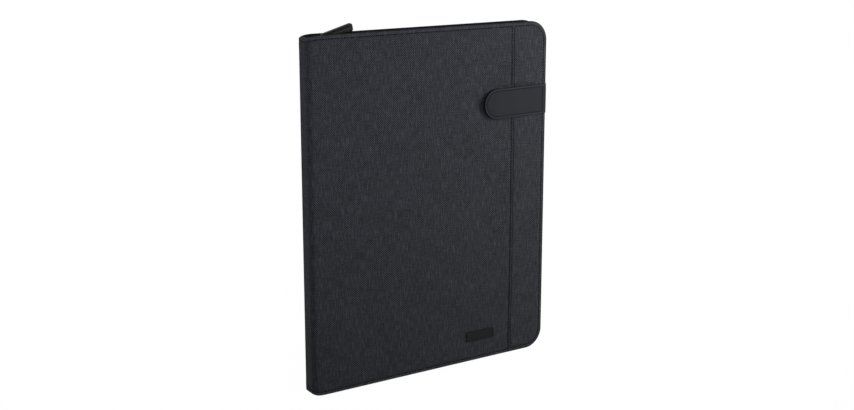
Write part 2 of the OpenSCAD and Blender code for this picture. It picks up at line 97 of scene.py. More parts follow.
# %% [markdown]
# ## Small helpers for materials
# Colours are picked as sRGB hex values, as they look on a screen. Blender's shaders work in linear light,
# so one function converts them. A second one adds a shader node, sets its values and links its sockets,
# which keeps each material short enough to read from top to bottom. Two more begin and end a material.

# %% Colour and node helpers


def linear(colour):
    """sRGB hex colour to linear RGBA."""
    channels = [int(colour[k:k + 2], 16) / 255 for k in (1, 3, 5)]
    return tuple(c / 12.92 if c <= 0.04045 else ((c + 0.055) / 1.055) ** 2.4 for c in channels) + (1.0,)


def add(tree, kind, links=None, **settings):
    """One shader node. A link is a socket to join, or a plain value to set."""
    made = tree.nodes.new("ShaderNode" + kind)
    for name, value in settings.items():
        setattr(made, name, value)
    for socket, value in (links or {}).items():
        if isinstance(value, bpy.types.NodeSocket):
            tree.links.new(value, made.inputs[socket])
        else:
            made.inputs[socket].default_value = value
    return made


def start(name):
    """A new empty material and its node tree."""
    material = bpy.data.materials.new(name)
    material.use_nodes = True
    material.node_tree.nodes.clear()
    return material, material.node_tree


def end(material, **sockets):
    """Ends a material with its surface shader. Underscores in socket names stand for spaces."""
    tree = material.node_tree
    shader = add(tree, "BsdfPrincipled", {n.replace("_", " "): v for n, v in sockets.items()})
    add(tree, "OutputMaterial", {"Surface": shader.outputs[0]})
    print(f"material {material.name}: {len(tree.nodes)} nodes")
    return material


print("mid grey in linear light:", round(linear("#808080")[0], 3))

# %% [markdown]
# ## A painted rim highlight
# A rounded edge catches the light and looks a shade paler than the face; here that highlight is painted
# into the colour. Cloth and strap share a plan with round corners, so one helper works out how far a point
# lies from that plan's edge, from the flat coordinates of the piece, and gives a share that is 1 on the rim
# and fades to 0 at the stitches.

# %% Rim helper
RIM_FADE_MM = 0.3


def painted_rim_highlight(tree, flat, plan, width):
    """Share of painted highlight: 1 at a plan's edge (tip, half, corner), 0 beyond the given width, in mm."""
    tip, half, corner = plan
    split = add(tree, "SeparateXYZ", {0: flat})
    side = add(tree, "Math", {0: split.outputs[1]}, operation="ABSOLUTE").outputs[0]
    past = []
    for place, limit in ((split.outputs[0], tip - corner), (side, half - corner)):
        over = add(tree, "Math", {0: place, 1: limit}, operation="SUBTRACT").outputs[0]
        past.append(add(tree, "Math", {0: over, 1: 0.0}, operation="MAXIMUM").outputs[0])
    away = add(tree, "CombineXYZ", {0: past[0], 1: past[1]}).outputs[0]
    reach = add(tree, "VectorMath", {0: away}, operation="LENGTH").outputs["Value"]
    inner = corner - width
    return add(tree, "MapRange", {0: reach, 1: inner - RIM_FADE_MM, 2: inner + RIM_FADE_MM}).outputs[0]


print(f"a painted rim highlight fades over {2 * RIM_FADE_MM} mm")

# %% [markdown]
# ## Heather cloth
# The covers wear a woven polyester in which dark and grey filaments are spun together, so each thread
# changes shade along its length. The eye sees fine streaks along both thread directions and a dry, matt
# surface. An image would repeat, so the weave is drawn from two stretched noises, one for each thread
# direction, and a chequer of waves says which thread is on top. The real threads lie 0.5 mm apart; they
# are drawn 1.1 mm apart, because finer ones would melt into one grey at this size. The weft is spun a
# shade paler than the warp, which gives the fine chequer that shows where the light is even.

# %% Woven polyester, charcoal heather
WEAVE_MM = 1.1
STREAK_MM = 11.0
WEFT_LOW, WEFT_HIGH, MID_SHADE = 0.45, 0.91, 0.625
# How softly one thread gives way to the other, and how far the weft's noise lies from the warp's.
CROSSING, WEFT_SHIFT = 0.25, 37.0
CLOUD_MM, CLOUD_SHARE = 35.0, 0.06
# Width and strength of the painted highlight along the cloth's rounded rim.
RIM_MM, RIM_HIGHLIGHT = 2.3, 0.05
THREAD_RISE_M = 0.00025


def woven(name, dark, light, weave=WEAVE_MM, streak=STREAK_MM, contrast=0.15, bump=0.5, sheen=0.05,
          rim=None):
    """A plain weave in two shades, in flat cloth mm. rim is the plan of an edge with a painted highlight."""
    material, tree = start(name)
    cloth = add(tree, "UVMap", uv_map="cloth").outputs[0]
    split = add(tree, "SeparateXYZ", {0: cloth})
    over = None
    ridges = []
    for axis in (0, 1):
        phase = add(tree, "Math", {0: split.outputs[axis], 1: math.pi / weave}, operation="MULTIPLY")
        ripple = add(tree, "Math", {0: phase.outputs[0]}, operation="SINE").outputs[0]
        ridges.append(add(tree, "Math", {0: ripple}, operation="ABSOLUTE").outputs[0])
        over = ripple if over is None else add(
            tree, "Math", {0: over, 1: ripple}, operation="MULTIPLY").outputs[0]
    on_top = add(tree, "MapRange", {0: over, 1: -CROSSING, 2: CROSSING}).outputs[0]
    threads = []
    for stretch, shift in (((1 / weave, 1 / streak, 0), 0.0), ((1 / streak, 1 / weave, 0), WEFT_SHIFT)):
        place = add(tree, "VectorMath", {0: cloth, 1: stretch, 2: (shift, shift, 0)},
                    operation="MULTIPLY_ADD").outputs[0]
        threads.append(add(tree, "TexNoise", {"Vector": place, "Scale": 1.0, "Detail": 3.0,
                                              "Roughness": 0.65}).outputs[0])
    threads[1] = add(tree, "MapRange", {0: threads[1], 3: WEFT_LOW, 4: WEFT_HIGH}).outputs[0]
    shade = add(tree, "Mix", {0: on_top, 2: threads[0], 3: threads[1]}).outputs[0]
    cloud = add(tree, "TexNoise", {"Vector": cloth, "Scale": 1 / CLOUD_MM, "Detail": 2.0}).outputs[0]
    shade = add(tree, "Math", {0: cloud, 1: CLOUD_SHARE, 2: shade}, operation="MULTIPLY_ADD").outputs[0]
    # Painted highlight: the rim's colour is made paler, in place of light catching the rounded edge.
    if rim:
        rim_highlight = painted_rim_highlight(tree, cloth, rim, RIM_MM)
        shade = add(tree, "Math", {0: rim_highlight, 1: RIM_HIGHLIGHT, 2: shade}, operation="MULTIPLY_ADD").outputs[0]
    mixed = add(tree, "MapRange", {0: shade, 1: MID_SHADE - contrast, 2: MID_SHADE + contrast}).outputs[0]
    colour = add(tree, "Mix", {0: mixed, 6: linear(dark), 7: linear(light)}, data_type="RGBA").outputs[2]
    height = add(tree, "Mix", {0: on_top, 2: ridges[0], 3: ridges[1]}).outputs[0]
    normal = add(tree, "Bump", {"Strength": bump, "Distance": THREAD_RISE_M, "Height": height}).outputs[0]
    rough = add(tree, "MapRange", {0: height, 3: 0.95, 4: 0.8}).outputs[0]
    return end(material, Base_Color=colour, Roughness=rough, Normal=normal, Sheen_Weight=sheen,
               Sheen_Roughness=0.5, Specular_IOR_Level=0.2)


# The cloth's rims get a painted highlight.
heather = woven("woven_polyester_heather", "#121317", "#47494f", contrast=0.09,
                rim=(FORE_X, TOP_Y, CORNER_R))

# %% [markdown]
# ## Lining, tapes and elastic
# Inside, the folio is lined with a plain dark nylon taffeta. The zip's tape, a dark strip of painted shadow
# at the pocket's mouth and the pen loop are narrow woven bands: denser and duller, with ribs that can be
# felt. All four are the same weave with other shades and spacings. Real ones have threads 0.1 to 0.5 mm
# apart; they are drawn about 1 mm apart, so that they show at all.

# %% Taffeta, tapes and ribbed elastic
# Smooth filament yarn, tightly woven: an even, dark surface with a faint shine.
taffeta = woven("woven_nylon_taffeta", "#232327", "#38383e", weave=0.9, streak=9.0, contrast=0.25,
                bump=0.25)
# Dense narrow weaves: nearly black and dull, with short ribs that catch the light.
tape_weave = {"weave": 1.0, "streak": 3.0, "contrast": 0.3, "bump": 0.6, "sheen": 0.0}
tape_cloth = woven("woven_zip_tape", "#050506", "#0d0d0e", **tape_weave)
# A dark strip standing in for the shade beside the pocket's hem: painted shadow, woven like the tape.
shadow_strip_cloth = woven("woven_painted_shadow_strip", "#18181b", "#29292d", **tape_weave)
# Yarn wrapped round rubber cores: long raised ribs along the band.
elastic = woven("woven_elastic", "#0a0a0b", "#19191b", weave=1.3, streak=60.0, contrast=0.3, bump=0.9,
                sheen=0.0)

# %% [markdown]
# ## Sewing thread
# Spun polyester thread is two or three plies twisted together. Close up, the plies show as slanting
# ridges with a soft gleam. Slanted bands along each stitch give that twist.

# %% Twisted polyester thread
TWIST_MM, PLIES = 0.6, 3


def thread_material(name, dark, light):
    """A twisted thread in two shades, the dark one between the plies."""
    material, tree = start(name)
    cloth = add(tree, "UVMap", uv_map="cloth").outputs[0]
    ply = add(tree, "TexWave", {"Vector": cloth, "Scale": 1 / (TWIST_MM * PLIES), "Distortion": 0.6},
              bands_direction="DIAGONAL").outputs[1]
    colour = add(tree, "Mix", {0: ply, 6: linear(dark), 7: linear(light)}, data_type="RGBA").outputs[2]
    normal = add(tree, "Bump", {"Strength": 0.6, "Distance": 0.0001, "Height": ply}).outputs[0]
    rough = add(tree, "MapRange", {0: ply, 3: 0.75, 4: 0.55}).outputs[0]
    return end(material, Base_Color=colour, Roughness=rough, Normal=normal, Specular_IOR_Level=0.15)


# Outside, the thread is darker than the cloth, so each stitch reads as a small dark dash.
thread = thread_material("polyester_thread_charcoal", "#040405", "#0e0e10")
# Inside, it is close to the lining's own shade and hardly shows.
black_thread = thread_material("polyester_thread_black", "#09090a", "#1a1a1c")

# %% [markdown]
# ## Leatherette
# The strap is cut from a cloth that is coated with soft plastic and embossed with a fine grain. The coat
# is even in colour, with a low satin gloss that the grain breaks up. A cell pattern gives the grain: the
# creases between the cells are what a calf hide shows. Cells are drawn 0.8 mm wide, about twice life size.
# The material itself is made with the strap, because its painted rim highlight needs the strap's length.

# %% Embossed or moulded grain
# Grain size, and the width of the painted rim highlight on the strap.
GRAIN_MM, STRAP_RIM_MM = 0.8, 1.8
CLOUD_GRAINS = 25
GRAIN_DEPTH_M = 0.0001


def grained(name, dark, light, grain, bump, rough, gloss=0.5, rim=None, rim_highlight=None):
    """A grained plastic skin, in the part's own mm. rim is the plan of an edge with a painted highlight."""
    material, tree = start(name)
    place = add(tree, "TexCoord").outputs["Object"]
    cells = add(tree, "TexVoronoi", {"Vector": place, "Scale": M_TO_MM / grain, "Randomness": 0.9},
                feature="SMOOTH_F1").outputs[0]
    cloud = add(tree, "TexNoise", {"Vector": place, "Scale": M_TO_MM / (grain * CLOUD_GRAINS),
                                   "Detail": 3.0}).outputs[0]
    mottle = add(tree, "Math", {0: cells, 1: 0.35, 2: cloud}, operation="MULTIPLY_ADD").outputs[0]
    shade = add(tree, "MapRange", {0: mottle, 1: 0.4, 2: 0.9}).outputs[0]
    colour = add(tree, "Mix", {0: shade, 6: linear(dark), 7: linear(light)}, data_type="RGBA").outputs[2]
    # Painted highlight: the rim's colour turns paler, in place of light catching the rounded edge.
    if rim:
        flat = add(tree, "UVMap", uv_map="cloth").outputs[0]
        highlight_share = painted_rim_highlight(tree, flat, rim, STRAP_RIM_MM)
        colour = add(tree, "Mix", {0: highlight_share, 6: colour, 7: linear(rim_highlight)}, data_type="RGBA").outputs[2]
    normal = add(tree, "Bump", {"Strength": bump, "Distance": GRAIN_DEPTH_M, "Height": cells},
                 invert=True).outputs[0]
    roughness = add(tree, "MapRange", {0: shade, 3: rough[0], 4: rough[1]}).outputs[0]
    return end(material, Base_Color=colour, Roughness=roughness, Normal=normal, Specular_IOR_Level=gloss)


print(f"grain of the strap: {GRAIN_MM} mm, its colour drifts over {GRAIN_MM * CLOUD_GRAINS:.0f} mm")

# %% [markdown]
# ## Moulded plastics and enamelled metal
# The label patch and the pull's grip are soft PVC from a blasted mould. The zip's teeth are moulded
# acetal. Slider and link are cast zinc and steel wire under baked black enamel. They are the same build as
# the leatherette, with other grain and gloss. Their grit is drawn 0.4 to 0.7 mm wide, coarser than life.

# %% PVC, acetal and enamel
# A blasted mould leaves the PVC matt, with a grit that is felt more than seen.
patch_pvc = grained("moulded_pvc_patch", "#131317", "#1a1a1e", grain=0.5, bump=0.25, rough=(0.65, 0.75),
                    gloss=0.25)
grip_pvc = grained("moulded_pvc_grip", "#0c0c0d", "#161618", grain=0.5, bump=0.2, rough=(0.45, 0.55),
                   gloss=0.4)
# Acetal is harder and comes out of its mould a little shinier.
acetal = grained("moulded_acetal_teeth", "#0c0c0d", "#171718", grain=0.4, bump=0.1, rough=(0.32, 0.45))
# Enamel flows smooth in the oven and keeps a clear gloss on black.
enamel = grained("baked_enamel_black", "#09090a", "#0f0f10", grain=0.7, bump=0.06, rough=(0.3, 0.4))

# %% [markdown]
# ## Paper, card and board
# The pad's sheets are white writing paper with pale ruled lines, on a brown chipboard back. The covers
# and the spine are stiffened by grey-brown board, and padded with thin foam, which stay hidden between
# the cloth and the lining. Fibres and flecks are soft noises at different sizes.

# %% Ruled paper
RULE_MM, RULE_WIDTH_MM, FIBRE_MM = 7.1, 0.35, 1.2


def ruled_paper(name):
    """Writing paper with thin lines across it: dull white, faintly cloudy, with pale blue ink."""
    material, tree = start(name)
    cloth = add(tree, "UVMap", uv_map="cloth").outputs[0]
    across = add(tree, "SeparateXYZ", {0: cloth}).outputs[1]
    beat = add(tree, "Math", {0: across, 1: RULE_MM}, operation="FLOORED_MODULO").outputs[0]
    line = add(tree, "Math", {0: beat, 1: RULE_WIDTH_MM}, operation="LESS_THAN").outputs[0]
    fibre = add(tree, "TexNoise", {"Vector": cloth, "Scale": 1 / FIBRE_MM, "Detail": 4.0}).outputs[0]
    bare = add(tree, "Mix", {0: fibre, 6: linear("#ecebe5"), 7: linear("#f6f5f0")},
               data_type="RGBA").outputs[2]
    colour = add(tree, "Mix", {0: line, 6: bare, 7: linear("#9fb0c4")}, data_type="RGBA").outputs[2]
    normal = add(tree, "Bump", {"Strength": 0.15, "Distance": 0.0001, "Height": fibre}).outputs[0]
    return end(material, Base_Color=colour, Roughness=0.85, Normal=normal)


ruled = ruled_paper("ruled_writing_paper")

# %% [markdown]
# ## Flecked stuffs
# Pressed board, foam, cut page edges and even plated metal have one thing in common: small flecks of two
# shades. One function makes them all. A stretch turns round flecks into lines.

# %% Page edges, chipboard, board, foam, binding and nickel


def flecked(name, dark, light, fleck, rough, bump, metallic=0.0, stretch=(1, 1, 1)):
    """A pressed, foamed or plated surface: flecks of two shades, in the part's own millimetres."""
    material, tree = start(name)
    place = add(tree, "TexCoord").outputs["Object"]
    scaled = add(tree, "VectorMath", {0: place, 1: tuple(v * M_TO_MM / fleck for v in stretch)},
                 operation="MULTIPLY").outputs[0]
    flecks = add(tree, "TexNoise", {"Vector": scaled, "Scale": 1.0, "Detail": 4.0,
                                    "Roughness": 0.7}).outputs[0]
    shade = add(tree, "MapRange", {0: flecks, 1: 0.35, 2: 0.65}).outputs[0]
    colour = add(tree, "Mix", {0: shade, 6: linear(dark), 7: linear(light)}, data_type="RGBA").outputs[2]
    normal = add(tree, "Bump", {"Strength": bump, "Distance": 0.0001, "Height": flecks}).outputs[0]
    roughness = add(tree, "MapRange", {0: shade, 3: rough, 4: rough - 0.12}).outputs[0]
    return end(material, Base_Color=colour, Roughness=roughness, Normal=normal, Metallic=metallic)


# Guillotined sheets, seen from the side: fine level lines.
page_edges = flecked("cut_paper_edges", "#dcdbd3", "#f1f0ea", fleck=0.5, rough=0.9, bump=0.3,
                     stretch=(0.05, 0.05, 1))
# Pressed waste paper: dry, brown or grey, with visible fibres.
chipboard = flecked("pressed_chipboard", "#8a7558", "#a8916f", fleck=1.5, rough=0.92, bump=0.4)
board = flecked("pressed_grey_board", "#7c705f", "#95897a", fleck=1.8, rough=0.92, bump=0.4)
# Closed bubbles: a dull, finely pitted grey.
foam = flecked("closed_cell_foam", "#8b8b8c", "#a5a5a6", fleck=0.6, rough=0.95, bump=0.5)
# Dyed paper over glue: a black that is almost even.
binding_paper = flecked("black_binding_paper", "#101012", "#1c1c1f", fleck=1.0, rough=0.75, bump=0.3)
# Nickel on turned steel: bright, with fine lines.
nickel = flecked("plated_nickel", "#b5b4b0", "#c6c5c1", fleck=0.8, rough=0.35, bump=0.05, metallic=1.0,
                 stretch=(0.1, 1, 1))

# %% [markdown]
# ## From points to pieces
# Every piece below is built from lists of points in millimetres, because cut cloth is all exact outlines
# and sections. One function makes the mesh, scales it to metres, joins points that meet and stores the
# flat cloth coordinates that the weave is drawn in.

# %% Mesh helper
MERGE_M, SLIVER_M = 1e-6, 1e-7


def add_piece(name, shape, material, clean=True):
    """One smooth mesh object from (points, faces, cloth coordinates), in millimetres."""
    points, faces, cloth = shape
    mesh = bpy.data.meshes.new(name)
    mesh.from_pydata([Vector(p) / M_TO_MM for p in points], [], faces)
    layer = mesh.uv_layers.new(name="cloth")
    corner = np.zeros(len(mesh.loops), np.int32)
    mesh.loops.foreach_get("vertex_index", corner)
    layer.data.foreach_set("uv", np.array(cloth, np.float32)[corner].ravel())
    if clean:
        work = bmesh.new()
        work.from_mesh(mesh)
        bmesh.ops.remove_doubles(work, verts=work.verts, dist=MERGE_M)
        bmesh.ops.dissolve_degenerate(work, edges=work.edges, dist=SLIVER_M)
        bmesh.ops.recalc_face_normals(work, faces=work.faces)
        work.to_mesh(mesh)
        work.free()
    mesh.polygons.foreach_set("use_smooth", [True] * len(mesh.polygons))
    mesh.materials.append(material)
    made = bpy.data.objects.new(name, mesh)
    bpy.context.scene.collection.objects.link(made)
    print(f"{name}: {len(mesh.vertices)} points, {len(mesh.polygons)} faces")
    return made


def join(*shapes):
    """Several shapes as one."""
    points, faces, cloth = [], [], []
    for more_points, more_faces, more_cloth in shapes:
        first = len(points)
        points += more_points
        cloth += more_cloth
        faces += [tuple(first + k for k in face) for face in more_faces]
    return points, faces, cloth


print(f"points nearer than {MERGE_M * M_TO_MM:.3f} mm are joined")

# %% [markdown]
# ## The U loft: a sheet with a turned edge
# A cover, its lining, the zip's tape and even the strap have the same plan: a U that is straight at the
# root and round at the far corners. Each is made from rings of that plan. A profile lists how far every
# ring is set in from the edge and how high it lies, and the rings are joined by faces. The cloth
# coordinates come from the same rings, rolled out flat, so the weave runs over the edge unbroken.

# %% U-shaped rings
CORNER_STEPS = 14


def u_ring(plan, inset):
    """Plan of a U set in from its edge: along one side, round the two corners and back."""
    stations, tip, half, corner = plan
    r = corner - inset
    arc = [math.pi / 2 * k / CORNER_STEPS for k in range(1, CORNER_STEPS + 1)]
    low = [(x, inset - half) for x in stations]
    low += [(tip - corner + r * math.sin(a), corner - half - r * math.cos(a)) for a in arc]
    return low + [(x, -y) for x, y in reversed(low)]


def rolled_out(profile):
    """The insets of a profile's points when it is laid flat, measured from its last point."""
    flat = [profile[-1][0]]
    for here, after in zip(reversed(profile[:-1]), reversed(profile[1:])):
        flat.insert(0, flat[0] - math.dist(here, after))
    return flat


def u_loft(plan, profile, under=False, root=False, fill=True):
    """Rings of the U along a profile of (inset, height). It can be filled on top, below and at its root."""
    rings = [[(x, y, z) for x, y in u_ring(plan, inset)] for inset, z in profile]
    cloth = [p for flat in rolled_out(profile) for p in u_ring(plan, flat)]
    count, last = len(rings[0]), (len(rings) - 1) * len(rings[0])
    faces = [(k * count + j, k * count + j + 1, (k + 1) * count + j + 1, (k + 1) * count + j)
             for k in range(len(rings) - 1) for j in range(count - 1)]
    pairs = range(count // 2 - 1)
    if fill:
        faces += [(last + j, last + j + 1, last + count - 2 - j, last + count - 1 - j) for j in pairs]
    if under:
        faces += [(count - 1 - j, count - 2 - j, j + 1, j) for j in pairs]
    if root:
        ends = [k * count for k in range(len(rings))]
        faces += [tuple(ends), tuple(k + count - 1 for k in reversed(ends))]
    return [p for ring in rings for p in ring], faces, cloth


print("points round the two corners of a ring:", 2 * CORNER_STEPS)

# %% [markdown]
# ## The edge of a padded cover
# The outer cloth is pulled round foam and board, turned in and caught by a line of stitches 3.4 mm from
# the edge. The thread pulls a shallow groove, and the foam swells a little on both sides of it. That
# section is written once, as insets and depths below the face, and every edge of the covers uses it.

# %% Section of a stitched edge
EDGE_R, INNER_R, SEAM, GROOVE, SWELL = 1.6, 0.8, 3.4, 0.55, 0.1
TURNED_IN, PROUD = 3.0, 0.12
# Steps across the seam, and the share of the groove's depth at each.
SEAM_DIP = ((-1.3, 0.0), (-0.8, 0.25), (-0.4, 0.75), (0.0, 1.0), (0.4, 0.75), (0.8, 0.25), (1.3, 0.0))


def edge_profile(depth):
    """(inset, depth) from the turned-in cloth, round the edge and over the seam, to the face."""
    arc = [math.radians(a) for a in range(0, 91, 15)]
    inner = [(INNER_R * (1 - math.sin(a)), depth - INNER_R * (1 - math.cos(a))) for a in arc]
    outer = [(EDGE_R * (1 - math.cos(a)), EDGE_R * (1 - math.sin(a))) for a in arc]
    seam = [(SEAM + step, share * GROOVE - SWELL) for step, share in SEAM_DIP]
    return [(TURNED_IN, depth)] + inner + outer + seam + [(SEAM + 4, -SWELL), (SEAM + 9, 0.0)]


print("points in the section of an edge:", len(edge_profile(COVER_T)))

# %% [markdown]
# ## The fold sweep: cloth that runs round the spine
# The cloth of both covers runs on over the spine, so it is drawn in section, from the middle of the spine
# round the rolled edge and over the cover, and swept along the folio's height. At both ends the section
# is drawn in by the depths of the edge profile. The two sweeps meet in the middle of the spine.

# %% Sweep along the spine


def sweep(path, rows):
    """path: (x, z, inward x, inward z, room, flat place); rows: (y, depth, flat y)."""
    points = [(x + ix * min(depth, room), y, z + iz * min(depth, room))
              for x, z, ix, iz, room, _ in path for y, depth, _ in rows]
    cloth = [(flat, v) for *_, flat in path for _, _, v in rows]
    count = len(rows)
    faces = [(c * count + k, c * count + k + 1, (c + 1) * count + k + 1, (c + 1) * count + k)
             for c in range(len(path) - 1) for k in range(count - 1)]
    return points, faces, cloth


def end_rows(profile, half, middle=()):
    """Rows of a sweep with the same edge profile at both ends."""
    side = [(half - inset, depth, half - flat) for (inset, depth), flat in zip(profile, rolled_out(profile))]
    low = [(-y, depth, -v) for y, depth, v in side]
    return low + [(y, 0.0, y) for y in middle] + side[::-1]


def laid_flat(path, known):
    """Adds each point's flat place to a path, given the x of its last point."""
    flat = [known]
    for here, after in zip(reversed(path[:-1]), reversed(path[1:])):
        flat.insert(0, flat[0] - math.dist(here[:2], after[:2]))
    return [(*p, f) for p, f in zip(path, flat)]


print("rows in the two ends of a sweep:", len(end_rows(edge_profile(COVER_T), TOP_Y)))

# %% [markdown]
# ## Rolled edges at the spine
# At the spine the cloth goes round the cover's edge in a soft roll, and the ends of the covers are drawn in
# a little, because the spine is shorter than the covers. Both follow the lines of the CAD plan.

# %% Roll and ease
# How deep the ends of the section can be drawn in where the cloth is rolled.
FOLD_ROOM = 2.2


def round_fold(r, face):
    """Half of the spine and its rolled edge: from the spine's middle to the face at +1 or -1."""
    straight = FRONT_TOP / 2 - r
    spine = [(SPINE_X, MID_Z + face * straight * share, 1, 0, FOLD_ROOM) for share in (0, 0.35, 0.7)]
    arc = [math.radians(a) for a in range(0, 91, 9)]
    roll = [(SPINE_X + r - r * math.cos(a), MID_Z + face * (straight + r * math.sin(a)),
             math.cos(a), -face * math.sin(a), FOLD_ROOM) for a in arc]
    return spine + roll


def drawn_in(points):
    """Draws the ends of the covers in towards the spine, along the arc of the CAD plan."""
    eased = []
    for x, y, z in points:
        run = min(max(SPINE_X + EASE_LEN - x, 0.0), EASE_LEN)
        drop = EASE_R - math.sqrt(EASE_R**2 - run**2)
        near_end = max(0.0, 1 - (TOP_Y - abs(y)) / EASE_R)
        eased.append((x, y - math.copysign(drop * near_end, y), z))
    return eased


corner_drop = TOP_Y - drawn_in([(SPINE_X, TOP_Y, 0.0)])[0][1]
print(f"the covers' ends are drawn in by {corner_drop:.1f} mm at the spine")

# %% [markdown]
# ## Back cover
# The back is one panel: half of the spine, the rolled edge, and a U-shaped cover whose edge is turned in.
# The sweep and the loft share the same edge section, so their points meet and are joined. It bends at the
# back fold.

# %% Cloth of the back cover
JOIN_X = SPINE_X + EASE_LEN
BACK_FOLD_R, FRONT_FOLD_R = 4.0, 5.0
half_grown, tip_grown = TOP_Y + PROUD, FORE_X + PROUD
back_edge = edge_profile(COVER_T)
back_plan = ([JOIN_X, -60, 0, 60, FORE_X - CORNER_R], tip_grown, half_grown, CORNER_R + PROUD)
back_face = ((CORE_X, 3.2), (CORE_X + 2, 4.2), (CORE_X + 5, COVER_T), (JOIN_X, COVER_T))
back_path = round_fold(BACK_FOLD_R, -1) + [(x, 0, 0, 1, room) for x, room in back_face]
back_path = laid_flat(back_path, JOIN_X)
points, faces, cloth = join(u_loft(back_plan, back_edge), sweep(back_path, end_rows(back_edge, half_grown)))
back_cloth = add_piece("back_cover_cloth", (drawn_in(points), faces, cloth), heather)
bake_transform(back_cloth)
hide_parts("back_outer_panel")

# %% [markdown]
# ## Front cover: base panel
# The front has two layers. The lower one covers the whole board and shows as the strip along the fore
# edge, where the strap is sewn on. It gets the same turned and stitched edge.

# %% Cloth of the front cover's base
base_plan = ([CORE_X, CORE_X + 4, JOIN_X, -60, 0, 60, FORE_X - CORNER_R], FORE_X, TOP_Y, CORNER_R)
base_edge = [(inset, STRIP_Z - depth) for inset, depth in edge_profile(STRIP_Z - FRONT_LOW)]
points, faces, cloth = u_loft(base_plan, base_edge)
base_cloth = add_piece("front_base_cloth", (drawn_in(points), faces, cloth), heather)
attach(base_cloth, "front_cover")
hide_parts("front_base_panel")

# %% [markdown]
# ## Slack and gape of the pocket panel
# The upper layer of the front is the wall of a slip pocket, sewn down on three sides only. Cloth that lies
# free has a few low waves, which keep it from looking like a sheet of metal, and its mouth stands open by
# up to 1.2 mm: most in the middle, less where its ends and the strap hold it down.

# %% How the pocket panel lies
HEM_SEAM_X, LIP_X, HEM_R = MOUTH_X - 4.2, MOUTH_X - 1.9, 0.72
SLACK_MM, SLACK_FADE = 0.06, 20
# Places along the mouth, how far it gapes at each, and how far back from the lip it is lifted.
GAPE_Y = (-145, -112, -76, -13, 50, 74, 110, 135, 160)
GAPE_MM = (0, 0.6, 1.1, 1.2, 1.0, 0.5, 0.4, 0.5, 0)
GAPE_REACH = 35


def slack(x, y):
    """Low waves of the cloth over the foam, about a tenth of a millimetre."""
    return SLACK_MM * (math.sin(x / 31 + 0.8) * math.cos(y / 43 - 0.4) + math.sin(x / 17 - y / 26) * 0.6)


def gape(x, y):
    """How far the pocket's mouth stands open."""
    near = min(max((x - LIP_X + GAPE_REACH) / GAPE_REACH, 0.0), 1.0)
    return np.interp(y, GAPE_Y, GAPE_MM) * near * near * (3 - 2 * near)


def settled(x, y, z):
    """A point of the pocket panel with slack and gape added. Only the face away from the seams is slack."""
    if z > FRONT_TOP - 0.01 and abs(y) < TOP_Y - 6:
        z = z + slack(x, y) * min(1.0, (TOP_Y - abs(y)) / SLACK_FADE)
    return (x, y, z + gape(x, y))


print(f"the pocket's mouth gapes by {max(gape(LIP_X, y) for y in GAPE_Y):.1f} mm at most")

# %% [markdown]
# ## Front cover: pocket panel
# The panel starts at the spine and ends in a folded hem across the front, sewn down 2.3 mm from its lip.
# Its section is the same sweep: round the front fold, flat over the cover, down into the hem's seam, up
# over the doubled cloth and round the lip.

# %% Cloth of the pocket panel
ROLL_Z = STRIP_Z + 0.05 + HEM_R
INNER_Z = FRONT_LOW - 0.15
# How far the middle of the spine lies behind the fold's axis in the flat cloth.
SPINE_RUN = 9.2
pocket_edge = edge_profile(FRONT_TOP - INNER_Z)


def over_front(x, z):
    """A point of the panel's section on the front face."""
    return (x, z, 0, -1, z - INNER_Z)


flat_x = [CORE_X + 3, CORE_X + 6, *np.linspace(JOIN_X, HEM_SEAM_X - 6, 20).tolist()]
flat_run = [over_front(x, FRONT_TOP) for x in flat_x]
hem_dip = ((-2.2, SWELL), (-1.2, SWELL), (-0.7, 0.0), (-0.3, -0.1), (0.0, -0.12), (0.3, -0.05), (0.6, 0.12),
           (0.9, 0.36))
hem_run = [over_front(HEM_SEAM_X + step, FRONT_TOP + rise) for step, rise in hem_dip]
hem_arc = [math.radians(d) for d in range(0, 151, 15)]
hem_turn = [over_front(LIP_X - HEM_R + HEM_R * math.sin(a), ROLL_Z + HEM_R * math.cos(a)) for a in hem_arc]
pocket_path = round_fold(FRONT_FOLD_R, 1) + flat_run + hem_run + hem_turn
flat_total = sum(math.dist(a[:2], b[:2]) for a, b in zip(pocket_path, pocket_path[1:]))
pocket_path = laid_flat(pocket_path, FOLD_X + flat_total - SPINE_RUN)
pocket_rows = end_rows(pocket_edge, half_grown, np.linspace(-150, 150, 31).tolist())
points, faces, cloth = sweep(pocket_path, pocket_rows)
points = [settled(*p) for p in points]
pocket_cloth = add_piece("front_pocket_cloth", (drawn_in(points), faces, cloth), heather)
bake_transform(pocket_cloth)
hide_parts("front_pocket_panel", "spine_outer")

# %% [markdown]
# ## Painted shadow at the pocket's mouth
# A dark woven strip lies under the hem and shows a little beyond it. It is painted shadow: it draws the
# dark line of the lip's shade beside the stitches.

# %% Strip of painted shadow under the hem
SHADOW_STRIP_SHOWS, SHADOW_STRIP_IN = 1.7, 10.0
shadow_strip_end = ((-0.4, -0.62), (-0.1, -0.7), (0.0, -0.85), (-0.15, -1.0), (-0.6, -1.05))
shadow_strip_section = [(-SHADOW_STRIP_IN, -0.95), (-4.0, -0.9), (-1.5, -0.75), (0.0, -0.6)]
shadow_strip_section += [(SHADOW_STRIP_SHOWS + step, rise) for step, rise in shadow_strip_end]
shadow_strip_path = [(LIP_X + step, ROLL_Z + HEM_R + rise, 0, 0, 0) for step, rise in shadow_strip_section]
shadow_strip_path = laid_flat(shadow_strip_path, 0.0)
points, faces, cloth = sweep(shadow_strip_path, [(y, 0, y) for y in np.linspace(4 - TOP_Y, TOP_Y - 4, 45)])
points = [(x, y, z + gape(min(x, LIP_X), y)) for x, y, z in points]
# Painted shadow: a dark strip where the hem's lip casts its shade.
shadow_strip = add_piece("pocket_painted_shadow_strip", (points, faces, cloth), shadow_strip_cloth)
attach(shadow_strip, "front_cover")

